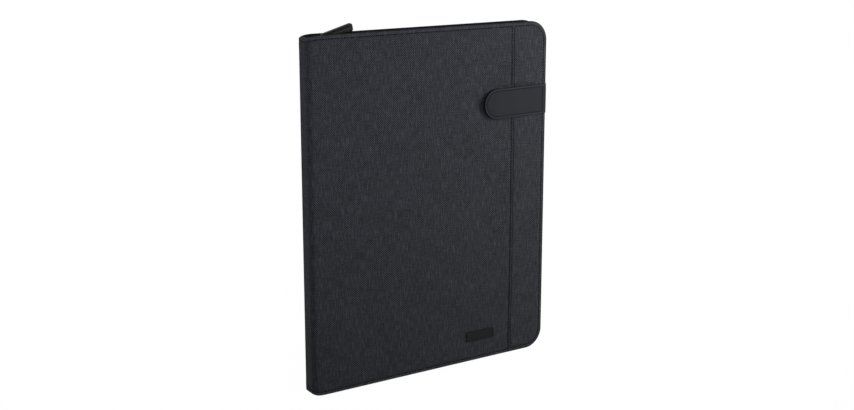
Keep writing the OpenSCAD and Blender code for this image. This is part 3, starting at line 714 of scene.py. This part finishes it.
# %% [markdown]
# ## Stitches
# A lockstitch shows as a row of short thread ends that dive into the cloth at each needle hole. A line
# texture would look printed on, so each stitch is a small bent tube: it comes up out of its hole, lies in
# the groove and dives again, turned a few degrees off the seam as a real one is. The thread is drawn
# 0.9 mm thick, about twice life size, so that it shows.

# %% One row of lockstitches
STITCH_MM, THREAD_MM, SIDES = 3.1, 0.9, 6
SLANT, NEAR_MM = 0.3, 0.1
# Rings of one stitch: place along it as a share of the pitch, lift and width as shares of the thread.
STITCH_RINGS = ((-0.3, -0.35, 0.6), (-0.26, 0.1, 0.9), (-0.12, 0.25, 1.0), (0.12, 0.25, 1.0),
                (0.26, 0.1, 0.9), (0.3, -0.35, 0.6))


def stitch_row(name, line, up, material, pitch=STITCH_MM, size=THREAD_MM):
    """Stitches along a line of points; up is the outward direction, one for all or one for each point."""
    line = np.array(line, float)
    up = np.broadcast_to(np.array(up, float), line.shape)
    length = np.r_[0, np.cumsum(np.linalg.norm(np.diff(line, axis=0), axis=1))]

    def at(s, what):
        return np.array([np.interp(s, length, what[:, k]) for k in range(3)])

    count = max(1, round(length[-1] / pitch))
    step = length[-1] / count
    points, faces, cloth = [], [], []
    for k in range(count):
        for ring, (share, lift, width) in enumerate(STITCH_RINGS):
            s = (k + 0.5 + share) * step
            ahead = at(min(s + NEAR_MM, length[-1]), line) - at(max(s - NEAR_MM, 0), line)
            out = at(s, up)
            side = np.cross(out, ahead / np.linalg.norm(ahead))
            middle = at(s, line) + out * lift * size + side * share * SLANT
            for turn in range(SIDES):
                a = 2 * math.pi * turn / SIDES
                points.append(tuple(middle + size / 2 * width * (side * math.cos(a) + out * math.sin(a))))
                cloth.append((s, size * a / 2))
            first = len(points) - SIDES
            if ring:
                before = first - SIDES
                faces += [(before + t, before + (t + 1) % SIDES, first + (t + 1) % SIDES, first + t)
                          for t in range(SIDES)]
            else:
                faces.append(tuple(first + t for t in reversed(range(SIDES))))
        faces.append(tuple(first + t for t in range(SIDES)))
    return add_piece(name, (points, faces, cloth), material, clean=False)


print(f"stitches are {STITCH_MM} mm apart, drawn with {THREAD_MM} mm thread")

# %% [markdown]
# ## Seams of the covers
# One row runs round each cover, 3.4 mm from its edge, and one along the hem of the pocket. Round the folds
# the rows bend with the cloth.

# %% Stitches of the covers
SEAM_Y = half_grown - SEAM
SEAM_DEPTH = GROOVE - SWELL


def seam_along(path, y):
    """Points of a sweep's path at one height, in the groove, and their outward directions."""
    line = drawn_in([(x + ix * SEAM_DEPTH, y, z + iz * SEAM_DEPTH) for x, z, ix, iz, *_ in path])
    return line, [(-ix, 0, -iz) for x, z, ix, iz, *_ in path]


for end_name, side in (("top", 1), ("bottom", -1)):
    line, up = seam_along([p for p in pocket_path if p[0] < HEM_SEAM_X + 1], side * SEAM_Y)
    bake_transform(stitch_row(f"pocket_stitches_{end_name}", line, up, thread))
    line, up = seam_along(back_path, side * SEAM_Y)
    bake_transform(stitch_row(f"back_fold_stitches_{end_name}", line, up, thread))
hem_y = np.linspace(-SEAM_Y, SEAM_Y, 40)
hem_line = [(HEM_SEAM_X, y, FRONT_TOP - 0.1 + gape(HEM_SEAM_X, y)) for y in hem_y]
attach(stitch_row("hem_stitches", hem_line, (0, 0, 1), thread), "front_cover")
strip_plan = ([MOUTH_X + 0.4, FORE_X - CORNER_R], FORE_X, TOP_Y, CORNER_R)
strip_line = [(x, y, STRIP_Z - GROOVE + SWELL) for x, y in u_ring(strip_plan, SEAM)]
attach(stitch_row("strip_stitches", strip_line, (0, 0, 1), thread), "front_cover")
back_line = [(x, y, SEAM_DEPTH) for x, y in u_ring(back_plan, SEAM)]
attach(stitch_row("back_cover_stitches", back_line, (0, 0, -1), thread), "back_cover")

# %% [markdown]
# ## The line of the strap
# The closure tab is one strip of leatherette, doubled and edge-stitched, with a full-round end that hides
# a magnet. It comes up round the fore edge, is sewn down by a cross stitch, and lies over the hem, where
# its thicker end stands a little off the cloth. Its underside follows a smooth line over the edge.

# %% Underside of the strap
tab_low, tab_high = span("closure_tab")
TAB_Y, TAB_HALF = (tab_low.y + tab_high.y) / 2, (tab_high.y - tab_low.y) / 2
TAB_TIP, TAB_UNDER, TAB_T = tab_low.x, tab_low.z, tab_high.z - tab_low.z
ROOT_T, END_T, STAND_OFF = 1.2, 3.2, 0.9


def joint_place(name):
    """Where a joint of the CAD model turns, in millimetres."""
    return Vector(next(j for j in frame["joints"] if j["name"] == name)["pos_m"]) * M_TO_MM


def smooth_line(corners, per=10):
    """A line through the given points, rounded by a Catmull-Rom spline."""
    knots = np.array([corners[0], *corners, corners[-1]], float)
    t = np.linspace(0, 1, per, endpoint=False)[:, None]
    runs = []
    for a, b, c, d in zip(knots, knots[1:], knots[2:], knots[3:]):
        bend, twist = 2 * a - 5 * b + 4 * c - d, 3 * b - a - 3 * c + d
        runs.append(0.5 * (2 * b + (c - a) * t + bend * t**2 + twist * t**3))
    return np.vstack([*runs, knots[-1]])


FOLD_AXIS = joint_place("tab_fold")
edge_x, end_z = FORE_X + 0.05, TAB_UNDER + STAND_OFF
strap_line = smooth_line([
    (edge_x, FRONT_LOW + 0.3), (edge_x, STRIP_Z - 1.7), (edge_x - 0.5, STRIP_Z - 0.5),
    (edge_x - 1.7, STRIP_Z + 0.05), (FOLD_AXIS.x + 1, STRIP_Z + 0.12), (FOLD_AXIS.x - 7, STRIP_Z + 0.5),
    (MOUTH_X + 14, TAB_UNDER - 0.4), (MOUTH_X + 6, TAB_UNDER + 0.3), (MOUTH_X, end_z),
    (MOUTH_X - 8, end_z), (TAB_TIP, end_z)])
strap_s = np.r_[0, np.cumsum(np.linalg.norm(np.diff(strap_line, axis=0), axis=1))]
STRAP_LEN = strap_s[-1]
print(f"strap: {STRAP_LEN:.1f} mm long, {2 * TAB_HALF:.1f} mm wide")

# %% [markdown]
# ## The strap
# The strap is a U loft laid flat, which is then bent along that line. Its rim gets a painted highlight.
# It lifts at the cross stitch.

# %% Leatherette strap
RIM_SEAM = 2.3
# Places along the strap where its thickness changes: root, doubled part, and the end with the magnet.
THICK_S = (0, 18, STRAP_LEN - 38, STRAP_LEN - 14)
THICK_MM = (ROOT_T, TAB_T, TAB_T, END_T)


def strap_at(s):
    """Place (x, z) of the strap's underside, s millimetres from its root."""
    return [np.interp(s, strap_s, strap_line[:, k]) for k in (0, 1)]


def on_strap(s, y, h):
    """A point of the strap: s along it from its root, h from 0 below to 1 on top."""
    x, z = strap_at(s)
    dx, dz = (after - before for after, before in zip(strap_at(s + 0.2), strap_at(s - 0.2)))
    size = math.hypot(dx, dz)
    thick = np.interp(s, THICK_S, THICK_MM)
    return (x + dz / size * h * thick, TAB_Y + y, z - dx / size * h * thick)


strap_profile = [
    (6.0, 0.0), (1.2, 0.0), (0.4, 0.06), (0.1, 0.22), (0.0, 0.42), (0.05, 0.66), (0.25, 0.86), (0.6, 0.97),
    (1.0, 1.0), (1.5, 0.99), (1.9, 0.93), (RIM_SEAM, 0.88), (2.7, 0.92), (3.2, 0.975), (4.2, 1.0),
    (7.0, 1.02)]
fine = np.linspace(0, 22, 34).tolist()
coarse = np.linspace(22, STRAP_LEN - TAB_HALF, 14).tolist()[1:]
strap_plan = (fine + coarse, STRAP_LEN, TAB_HALF, TAB_HALF)
# Embossed soft plastic: an even dark grey with a low satin gloss, and a painted highlight along the rim.
leatherette = grained("embossed_leatherette", "#1f2025", "#25272c", GRAIN_MM, bump=0.3, rough=(0.62, 0.72),
                      gloss=0.2, rim=(STRAP_LEN, TAB_HALF, TAB_HALF), rim_highlight="#2f3137")
points, faces, cloth = u_loft(strap_plan, strap_profile, under=True, root=True)
strap = add_piece("closure_strap", ([on_strap(*p) for p in points], faces, cloth), leatherette)
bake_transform(strap)
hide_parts("closure_tab", "tab_backing", "tab_anchor")

# %% [markdown]
# ## Painted edge of the strap
# The cut edge of doubled leatherette shows its layers, so it is rubbed smooth and painted black. The paint
# dries to a satin skin that ends where the face begins to round. It is a narrow band just outside the
# strap's edge.

# %% Edge paint
# Brushed-on paint, filled and rubbed: black, with a soft satin sheen.
edge_paint = grained("brushed_edge_paint", "#08080a", "#0f0f11", GRAIN_MM, bump=0.1, rough=(0.5, 0.6),
                     gloss=0.2)
paint_profile = [(1.3, -0.01), (0.4, 0.03), (0.06, 0.2), (-0.04, 0.42), (-0.01, 0.62), (0.12, 0.8)]
points, faces, cloth = u_loft(strap_plan, paint_profile, fill=False)
painted = add_piece("strap_edge_paint", ([on_strap(*p) for p in points], faces, cloth), edge_paint)
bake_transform(painted)

# %% [markdown]
# ## Stitches of the strap
# A row of stitches runs inside the rim, in a shallow groove, and holds the two layers together. A second
# one crosses the strap where it is sewn to the cover. They are a little shorter and finer than the others.

# %% Rim and cross stitches
STRAP_STITCH = {"pitch": 2.6, "size": 0.8}
RIM_START = 8.5
rim = [(s, y) for s, y in u_ring(strap_plan, RIM_SEAM) if s > RIM_START]
rim_line = [on_strap(s, y, 0.9) for s, y in rim]
rim_up = [np.subtract(on_strap(s, y, 1.0), on_strap(s, y, 0.0)) for s, y in rim]
rim_up = [u / np.linalg.norm(u) for u in rim_up]
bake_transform(stitch_row("strap_stitches", rim_line, rim_up, thread, **STRAP_STITCH))
CROSS_S = float(np.interp(-(FOLD_AXIS.x + 2.2), -strap_line[:, 0], strap_s))
cross_line = [on_strap(CROSS_S, y, 1.0) for y in (RIM_SEAM - TAB_HALF, TAB_HALF - RIM_SEAM)]
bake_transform(stitch_row("strap_cross_stitches", cross_line, (0, 0, 1), thread, **STRAP_STITCH))

# %% [markdown]
# ## Zip tape
# A zip hangs between two woven tapes. Each is sewn flat to the inside of a cover and turns up to carry
# its row of teeth. Outwards it runs on over the cover's edge, where it shows as the black band between
# the covers. The tape is a U loft again, with a bead at the top where the cord of the teeth is sewn in.
# The front one is the same shape, turned over.

# %% Tapes of the two covers
COVERS = (("back", "back_cover"), ("front", "front_cover"))
TAPE_TOP = span("zip_tape_back")[1].z
TAPE_OUT, WALL = 11.0, 6.7


def at_side(side, z):
    """A height on the back cover, or the same one on the front cover, which lies the other way up."""
    return z if side == "back" else FRONT_TOP - z


# Half of the upright wall and its bead, from the foot up.
bead = [(0.5, COVER_T + 0.35), (0.38, COVER_T + 0.9), (0.36, TAPE_TOP - 0.8), (0.48, TAPE_TOP - 0.45),
        (0.4, TAPE_TOP - 0.1)]
tape_profile = [(TAPE_OUT + 0.2, COVER_T - 0.3), (TAPE_OUT, COVER_T + 0.05), (9.0, COVER_T + 0.08),
                (WALL + 1.0, COVER_T + 0.1)]
tape_profile += [(WALL + half, z) for half, z in bead] + [(WALL, TAPE_TOP)]
tape_profile += [(WALL - half, z) for half, z in reversed(bead)]
tape_profile += [(WALL - 1.0, COVER_T + 0.12), (3.0, COVER_T + 0.1), (0.8, COVER_T + 0.12), (0.1, COVER_T)]
tape_profile += [(-0.35, COVER_T - 0.5), (-0.5, COVER_T - 1.3), (-0.5, 2.0), (-0.3, 1.3), (0.1, 1.0)]
for side, body in COVERS:
    profile = [(inset, at_side(side, z)) for inset, z in tape_profile]
    points, faces, cloth = u_loft(base_plan, profile, root=True, fill=False)
    band = add_piece(f"zip_tape_{side}_woven", (drawn_in(points), faces, cloth), tape_cloth)
    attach(band, body)
    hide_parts(f"zip_tape_{side}")

# %% [markdown]
# ## Lining
# The lining covers the boards on the inside and laps over the zip's tape, where it is sewn down. In the
# gutter it runs on from one cover to the spine and to the other, with enough slack to let the folio open.
# The slack is what makes the small roll in the gutter of an open folder.

# %% Lining of the covers and the gutter
LAP, LAP_SEAM, SEAM_RISE = 10.4, 2.0, 0.28
FINE_THREAD_MM = 0.42
GUTTER_X, GUTTER_HALF = SPINE_X + 2.85, TOP_Y - 1.5
# The hem of the lining: steps in from its edge and heights over the cover's inner face.
lap_form = ((0.0, 0.05), (0.0, 0.25), (0.25, 0.42), (0.9, 0.45), (1.6, 0.36), (LAP_SEAM, SEAM_RISE),
            (2.4, 0.36), (3.4, 0.4), (6.0, 0.2))
gutter = smooth_line([
    (CORE_X + 4.4, COVER_T + 0.3), (CORE_X + 0.6, COVER_T + 0.34), (CORE_X - 1.0, COVER_T + 0.38),
    (GUTTER_X + 0.1, COVER_T + 0.7), (GUTTER_X, COVER_T + 1.6), (GUTTER_X, MID_Z)], per=6)
gutter_rows = [(y, 0, y) for y in np.linspace(-GUTTER_HALF, GUTTER_HALF, 9)]
for side, body in COVERS:
    profile = [(LAP + step, at_side(side, COVER_T + rise)) for step, rise in lap_form]
    lining = add_piece(f"{side}_lining_taffeta", u_loft(base_plan, profile), taffeta)
    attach(lining, body)
    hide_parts(f"{side}_lining")
    seam = [(x, y, at_side(side, COVER_T + SEAM_RISE)) for x, y in u_ring(base_plan, LAP + LAP_SEAM)]
    inward = (0, 0, 1 if side == "back" else -1)
    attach(stitch_row(f"{side}_lining_stitches", seam, inward, black_thread, size=FINE_THREAD_MM), body)
    path = laid_flat([(x, at_side(side, z), 0, 0, 0) for x, z in gutter], -GUTTER_HALF)
    strip = add_piece(f"{side}_gutter_taffeta", sweep(path, gutter_rows), taffeta)
    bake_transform(strip)
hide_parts("spine_lining")

# %% [markdown]
# ## Panels sewn inside
# The slot that holds the pad, the document pocket and two card pockets are panels of the same taffeta,
# hemmed along the open edge. A panel is lofted from its outline: each ring of a profile sets the outline
# in and lifts it. The thumb notches are part of the outline, so the hem follows them.

# %% Panel loft
NOTCH_R, SOFT = 11.0, 0.25


def inset_outline(outline, inset):
    """A closed outline, counter-clockwise, set in by moving each corner along its mitre."""
    p = np.array(outline, float)
    before, after = p - np.roll(p, 1, 0), np.roll(p, -1, 0) - p
    normals = [np.stack([-e[:, 1], e[:, 0]], 1) / np.linalg.norm(e, axis=1)[:, None] for e in (before, after)]
    mitre = normals[0] + normals[1]
    return p + inset * 2 * mitre / (mitre**2).sum(1)[:, None]


def panel_loft(outline, profile):
    """A closed panel from an outline and a profile of (inset, height), filled below and above."""
    n = len(outline)
    points, cloth, faces = [], [], []
    for (inset, z), flat in zip(profile, rolled_out(profile)):
        points += [(x, y, z) for x, y in inset_outline(outline, inset)]
        cloth += [tuple(p) for p in inset_outline(outline, flat)]
    for k in range(len(profile) - 1):
        low, high = k * n, (k + 1) * n
        faces += [(low + j, low + (j + 1) % n, high + (j + 1) % n, high + j) for j in range(n)]
    faces += [tuple(reversed(range(n))), tuple(range(len(points) - n, len(points)))]
    return points, faces, cloth


def notched(low, high, notch=0.0):
    """A rectangle with a round thumb notch in the middle of its upper edge."""
    middle = (low.x + high.x) / 2
    arc = [math.radians(a) for a in range(0, -181, -15)] if notch else []
    return ([(low.x, low.y), (high.x, low.y), (high.x, high.y)]
            + [(middle + notch * math.cos(a), high.y + notch * math.sin(a)) for a in arc] + [(low.x, high.y)])


print("points in a notched outline:", len(notched(*span("document_pocket"), NOTCH_R)))

# %% [markdown]
# ## Pad slot
# The back of the pad slides into a slot: a panel sewn to the lining along three sides, with a doubled hem
# across its open upper edge. Because of the sewn edge it is a U loft, turned so that its root is the open
# edge, and raised to the height of the pad's card back.

# %% Slot panel and its hem
slot_low, slot_high = span("pad_slot_panel")
over_pad, slot_x = slot_high.z, (slot_low.x + slot_high.x) / 2
SLOT_LEN, SLOT_R = slot_high.y - slot_low.y, 4.0
SLOT_SEAM, SLOT_DIP = 2.6, 0.75
slot_plan = ([0, 60, SLOT_LEN - SLOT_R], SLOT_LEN, (slot_high.x - slot_low.x) / 2, SLOT_R)
slot_edge = ((0.0, 0.1), (0.0, 0.7), (0.3, 0.95), (2.2, 0.85), (SLOT_SEAM, SLOT_DIP), (3.0, 0.85),
             (3.9, 0.95))
slot_profile = [(inset, COVER_T + rise) for inset, rise in slot_edge]
slot_profile += [(3.95, over_pad - 0.35), (3.98, over_pad - 0.05)]


def slot_place(s, y, z):
    """Turns the flat U so that its root is the slot's open upper edge."""
    return (slot_x + y, slot_high.y - s, z)


points, faces, cloth = u_loft(slot_plan, slot_profile)
slot_shape = ([slot_place(*p) for p in points], faces, [(y, -s) for s, y in cloth])
slot_panel = add_piece("pad_slot_taffeta", slot_shape, taffeta)
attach(slot_panel, "back_cover")
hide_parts("pad_slot_panel")
slot_line = [slot_place(s, y, COVER_T + SLOT_DIP) for s, y in u_ring(slot_plan, SLOT_SEAM)]
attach(stitch_row("pad_slot_stitches", slot_line, (0, 0, 1), black_thread, size=FINE_THREAD_MM),
        "back_cover")
hem_outline = notched(Vector((slot_low.x, slot_high.y - 9, 0)), Vector((slot_high.x, slot_high.y + 0.4, 0)))
hem_form = ((SOFT, -0.5), (0.0, -0.25), (0.0, 0.05), (SOFT, 0.3), (2 * SOFT, 0.34))
hem_profile = [(inset, over_pad + rise) for inset, rise in hem_form]
slot_hem = add_piece("pad_slot_hem", panel_loft(hem_outline, hem_profile), taffeta)
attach(slot_hem, "back_cover")
slot_hem_line = [(x, slot_high.y - 7, over_pad + 0.3) for x in (slot_low.x + 2, slot_high.x - 2)]
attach(stitch_row("pad_slot_hem_stitches", slot_hem_line, (0, 0, 1), black_thread, size=FINE_THREAD_MM),
        "back_cover")

# %% [markdown]
# ## Document pocket and card pockets
# Three flat pockets are sewn to the lining of the front cover along three sides. Each is a panel loft with
# softened edges and a thumb notch in its open edge. They lie face down while the folio is closed.

# %% Pockets of the front cover
POCKET_SEAM = 2.2
for node in ("document_pocket", "card_pocket_upper", "card_pocket_lower"):
    low, high = span(node)
    profile = [(SOFT, high.z), (0.0, high.z - SOFT), (0.0, low.z + SOFT), (SOFT, low.z), (2.0, low.z - 0.05)]
    panel = add_piece(f"{node}_taffeta", panel_loft(notched(low, high, NOTCH_R), profile), taffeta)
    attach(panel, "front_cover")
    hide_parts(node)
    left, right, foot, brim = low.x + POCKET_SEAM, high.x - POCKET_SEAM, low.y + POCKET_SEAM, high.y - 1
    sides = [(left, brim, low.z), (left, foot, low.z), (right, foot, low.z), (right, brim, low.z)]
    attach(stitch_row(f"{node}_stitches", sides, (0, 0, -1), black_thread, size=FINE_THREAD_MM),
            "front_cover")

# %% [markdown]
# ## Writing pad
# A glued pad is a stack of sheets that never lie quite flush. The stack is lofted through thin layers,
# each set in by its own small random amount with a fixed seed, and the top sheet is a separate ruled page.

# %% Sheets of the pad
sheets_low, sheets_high = span("pad_sheets")
pages = random.Random(21)
LAYERS, UNEVEN_MM = 26, 0.22
stack_height = sheets_high.z - 0.15 - sheets_low.z
stack_profile = []
for k in range(LAYERS):
    inset = pages.uniform(0.0, UNEVEN_MM)
    stack_profile += [(inset, sheets_low.z + stack_height * (k + d) / LAYERS) for d in (0.05, 0.95)]
stack = add_piece("pad_sheet_stack", panel_loft(notched(sheets_low, sheets_high), stack_profile), page_edges)
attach(stack, "back_cover")
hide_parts("pad_sheets")
top_profile = [(0.1, sheets_high.z - 0.14), (0.1, sheets_high.z - 0.03), (0.6, sheets_high.z)]
top_sheet = add_piece("pad_top_sheet", panel_loft(notched(sheets_low, sheets_high), top_profile), ruled)
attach(top_sheet, "back_cover")

# %% [markdown]
# ## Pen loop
# The pen loop is a short band of ribbed elastic, sewn to the lining in the gutter. It is a ring of
# rounded-box sections, pulled in a little at the middle, as elastic is that nothing stretches.

# %% Elastic loop
loop_low, loop_high = span("pen_loop")
LOOP_T, LOOP_R = 0.8, 2.5
loop_half_x, loop_half_z = (loop_high.x - loop_low.x) / 2, (loop_high.z - loop_low.z) / 2
loop_middle = (loop_low + loop_high) / 2


def loop_section(inset):
    """Rounded box of the loop, set in from its outside."""
    r = LOOP_R - inset
    section = []
    for corner, (sx, sz) in enumerate(((1, 1), (-1, 1), (-1, -1), (1, -1))):
        cx, cz = sx * (loop_half_x - LOOP_R), sz * (loop_half_z - LOOP_R)
        section += [(cx + r * math.cos(a), cz + r * math.sin(a))
                    for a in (math.radians(90 * corner + d) for d in range(0, 91, 15))]
    return section


# Rings from one end of the loop to the other, outside and then back inside: place and inset.
loop_rows = [(-1.0, 0.3), (-0.97, 0.05), (-0.5, 0.12), (0.0, 0.16), (0.5, 0.12), (0.97, 0.05), (1.0, 0.3)]
loop_rings = loop_rows + [(share, LOOP_T - inset) for share, inset in reversed(loop_rows)]
points, cloth = [], []
for share, inset in loop_rings:
    section = loop_section(inset)
    y = loop_middle.y + share * (loop_high.y - loop_low.y) / 2
    points += [(loop_middle.x + x, y, loop_middle.z + z) for x, z in section]
    lengths = np.r_[0, np.cumsum([math.dist(a, b) for a, b in zip(section, section[1:])])]
    cloth += [(y, s) for s in lengths]
n, rings = len(section), len(loop_rings)
faces = [(k * n + j, k * n + (j + 1) % n, (k + 1) % rings * n + (j + 1) % n, (k + 1) % rings * n + j)
         for k in range(rings) for j in range(n)]
loop = add_piece("pen_loop_elastic", (points, faces, cloth), elastic)
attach(loop, "back_cover")
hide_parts("pen_loop")

# %% [markdown]
# ## Grip of the zip pull
# The grip is soft PVC, moulded round the link's tongue: a flat bar with round corners, soft edges, and a
# sunk panel on both faces, which is left bare. It is one more U loft, closed above and below, narrowed
# towards the link and turned to the angle at which the pull rests.

# %% Moulded grip
PULL_REST = math.radians(13)
PIN = joint_place("pull_swing")
GRIP_START, GRIP_LEN, GRIP_HALF, GRIP_NECK, GRIP_T, GRIP_END_R = 5.6, 30.0, 3.8, 2.4, 4.6, 2.2
SUNK, HALF_T = 0.22, GRIP_T / 2
grip_side = [(1.75, SUNK), (1.62, 0.08), (1.45, 0.0), (1.0, 0.02), (0.5, 0.2), (0.15, 0.6), (0.0, 1.3)]
grip_profile = [(inset, depth - HALF_T) for inset, depth in grip_side]
grip_profile += [(inset, HALF_T - depth) for inset, depth in reversed(grip_side)]
grip_plan = (np.linspace(0, GRIP_LEN - GRIP_END_R, 9).tolist(), GRIP_LEN, GRIP_HALF, GRIP_END_R)


def on_pull(s, y, z):
    """A point of the grip, narrowed at its neck and turned about the pin."""
    y *= np.interp(s, (0, GRIP_LEN - GRIP_END_R), (GRIP_NECK / GRIP_HALF, 1.0))
    x = GRIP_START + s
    cos, sin = math.cos(PULL_REST), math.sin(PULL_REST)
    return (PIN.x + cos * x - sin * y, PIN.y + sin * x + cos * y, PIN.z + z)


points, faces, cloth = u_loft(grip_plan, grip_profile, under=True)
count = len(u_ring(grip_plan, 0))
first_ends = [k * count for k in range(len(grip_profile))]
mouth = tuple(first_ends + [k + count - 1 for k in reversed(first_ends)])
grip = add_piece("pull_grip_moulded", ([on_pull(*p) for p in points], faces + [mouth], cloth), grip_pvc)
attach(grip, "pull")
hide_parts("pull_grip")

# %% [markdown]
# ## Finishes of the CAD pieces
# The zip's teeth, stops, slider and link, the label patch, the boards and the magnet are right as CAD made
# them. They only need their materials.

# %% Assign materials to the CAD nodes
finishes = {
    foam: ("back_foam", "front_foam"),
    board: ("back_board", "front_board", "spine_board"),
    chipboard: ("pad_backing",),
    binding_paper: ("pad_binding",),
    acetal: ("zip_chain_back", "zip_chain_front", "zip_stops_back", "zip_stops_front"),
    enamel: ("slider_body", "pull_link"),
    patch_pvc: ("label_patch",),
    nickel: ("tab_magnet", "tab_keeper"),
}
for material, names in finishes.items():
    for name in names:
        cad_mesh = frame["nodes"][name].data
        cad_mesh.materials.clear()
        cad_mesh.materials.append(material)
print("finished CAD nodes:", sum(len(names) for names in finishes.values()))

# %% [markdown]
# ## Camera
# The picture was taken from the spine's side, a little above the top edge, and the camera's place was
# fitted to the corners of the front cover. The picture's upright edges don't converge, which takes a large
# shift of the lens. Only a small one is used here, so that views from other sides stay in the frame.

# %% Place the camera
scene = bpy.context.scene
camera_data = bpy.data.cameras.new("camera")
camera = bpy.data.objects.new("camera", camera_data)
scene.collection.objects.link(camera)
scene.camera = camera
camera_data.lens = 53.1
camera_data.shift_y = -0.05
camera.location = (-0.642, 0.2945, 1.0146)
aim = Vector((-0.00798, 0.0421, 0.019))
ahead = (aim - camera.location).normalized()
right = ahead.cross(Vector((0, 1, 0))).normalized()
camera_axes = Matrix((right, right.cross(ahead), -ahead)).transposed()
camera.rotation_euler = camera_axes.to_euler()
print("camera stands", round((camera.location - aim).length, 3), "m from the cover")

# %% [markdown]
# ## Floor
# The folio lies on a plain white floor, which is not part of it. Seen directly, the floor is white all
# over, as in a cut-out picture, but it still takes a share of real light, so the folio's shadow stays.

# %% White floor
FLOOR_REACH, FLOOR_Z = 4.0, -0.0003
FLOOR_WHITE, FLOOR_GLOW = 0.94, 1.05
# Patches of about 9 mm, over a floor that is 8 m wide.
FLOOR_GRIT = 900.0
floor_corners = [(x * FLOOR_REACH, y * FLOOR_REACH, FLOOR_Z) for x, y in ((-1, -1), (1, -1), (1, 1), (-1, 1))]
floor_mesh = bpy.data.meshes.new("floor")
floor_mesh.from_pydata(floor_corners, [], [(0, 1, 2, 3)])
floor = bpy.data.objects.new("floor", floor_mesh)
scene.collection.objects.link(floor)
# Rolled matt paint: no gloss, and a shade that hardly varies.
floor_paint, tree = start("matt_white_floor")
rays = add(tree, "LightPath").outputs
seen = add(tree, "Math", {0: rays["Is Camera Ray"], 1: rays["Is Glossy Ray"]}, operation="MAXIMUM")
seen = add(tree, "Math", {0: seen.outputs[0], 1: rays["Is Transmission Ray"]}, operation="MAXIMUM")
whitened = add(tree, "Math", {0: seen.outputs[0], 1: FLOOR_WHITE}, operation="MULTIPLY")
grit = add(tree, "TexNoise", {"Scale": FLOOR_GRIT, "Detail": 2.0})
paint = add(tree, "MapRange", {0: grit.outputs[0], 3: 0.5, 4: 0.56})
matt = add(tree, "BsdfDiffuse", {"Color": paint.outputs[0]})
white = add(tree, "Emission", {"Color": (1, 1, 1, 1), "Strength": FLOOR_GLOW})
both = add(tree, "MixShader", {0: whitened.outputs[0], 1: matt.outputs[0], 2: white.outputs[0]})
add(tree, "OutputMaterial", {"Surface": both.outputs[0]})
floor_mesh.materials.append(floor_paint)
print("floor is", 2 * FLOOR_REACH, "m wide")

# %% [markdown]
# ## Sky and lamps
# A weak white sky fills the shadows. Three soft lamps do the rest: a low one at the fore edge rakes over
# the cover and shows the strap, the hem and the weave, one at the top right lights the corner there, and
# a cool one comes from the spine's side.

# %% Sky and lamps
SKY = 0.05
sky = bpy.data.worlds.new("studio")
scene.world = sky
sky.use_nodes = True
tree = sky.node_tree
tree.nodes.clear()
rays = add(tree, "LightPath").outputs
level = add(tree, "MapRange", {0: rays["Is Camera Ray"], 3: SKY, 4: 1.0})
glow = add(tree, "Background", {"Color": (1, 1, 1, 1), "Strength": level.outputs[0]})
add(tree, "OutputWorld", {"Surface": glow.outputs[0]})


def lamp(name, place, target, size, power, tint="#ffffff"):
    """A square area lamp that faces a target."""
    light = bpy.data.lights.new(name, "AREA")
    light.size, light.energy = size, power
    light.color = linear(tint)[:3]
    made = bpy.data.objects.new(name, light)
    made.location = place
    made.rotation_euler = (Vector(target) - Vector(place)).to_track_quat("-Z", "Y").to_euler()
    scene.collection.objects.link(made)
    print(f"lamp {name}: {power} W, {size} m wide")


lamp("softbox_fore_edge", (0.6, -0.2, 0.3), (0.08, 0.08, 0.0), 0.3, 1.6)
lamp("softbox_top_right", (0.28, 0.22, 0.32), (0.05, 0.1, 0.0), 0.2, 0.92)
lamp("softbox_spine", (-0.35, 0.24, 0.5), (0.05, 0.1, 0.0), 0.3, 1.5, tint="#f4f8ff")
scene.view_settings.view_transform = "Standard"
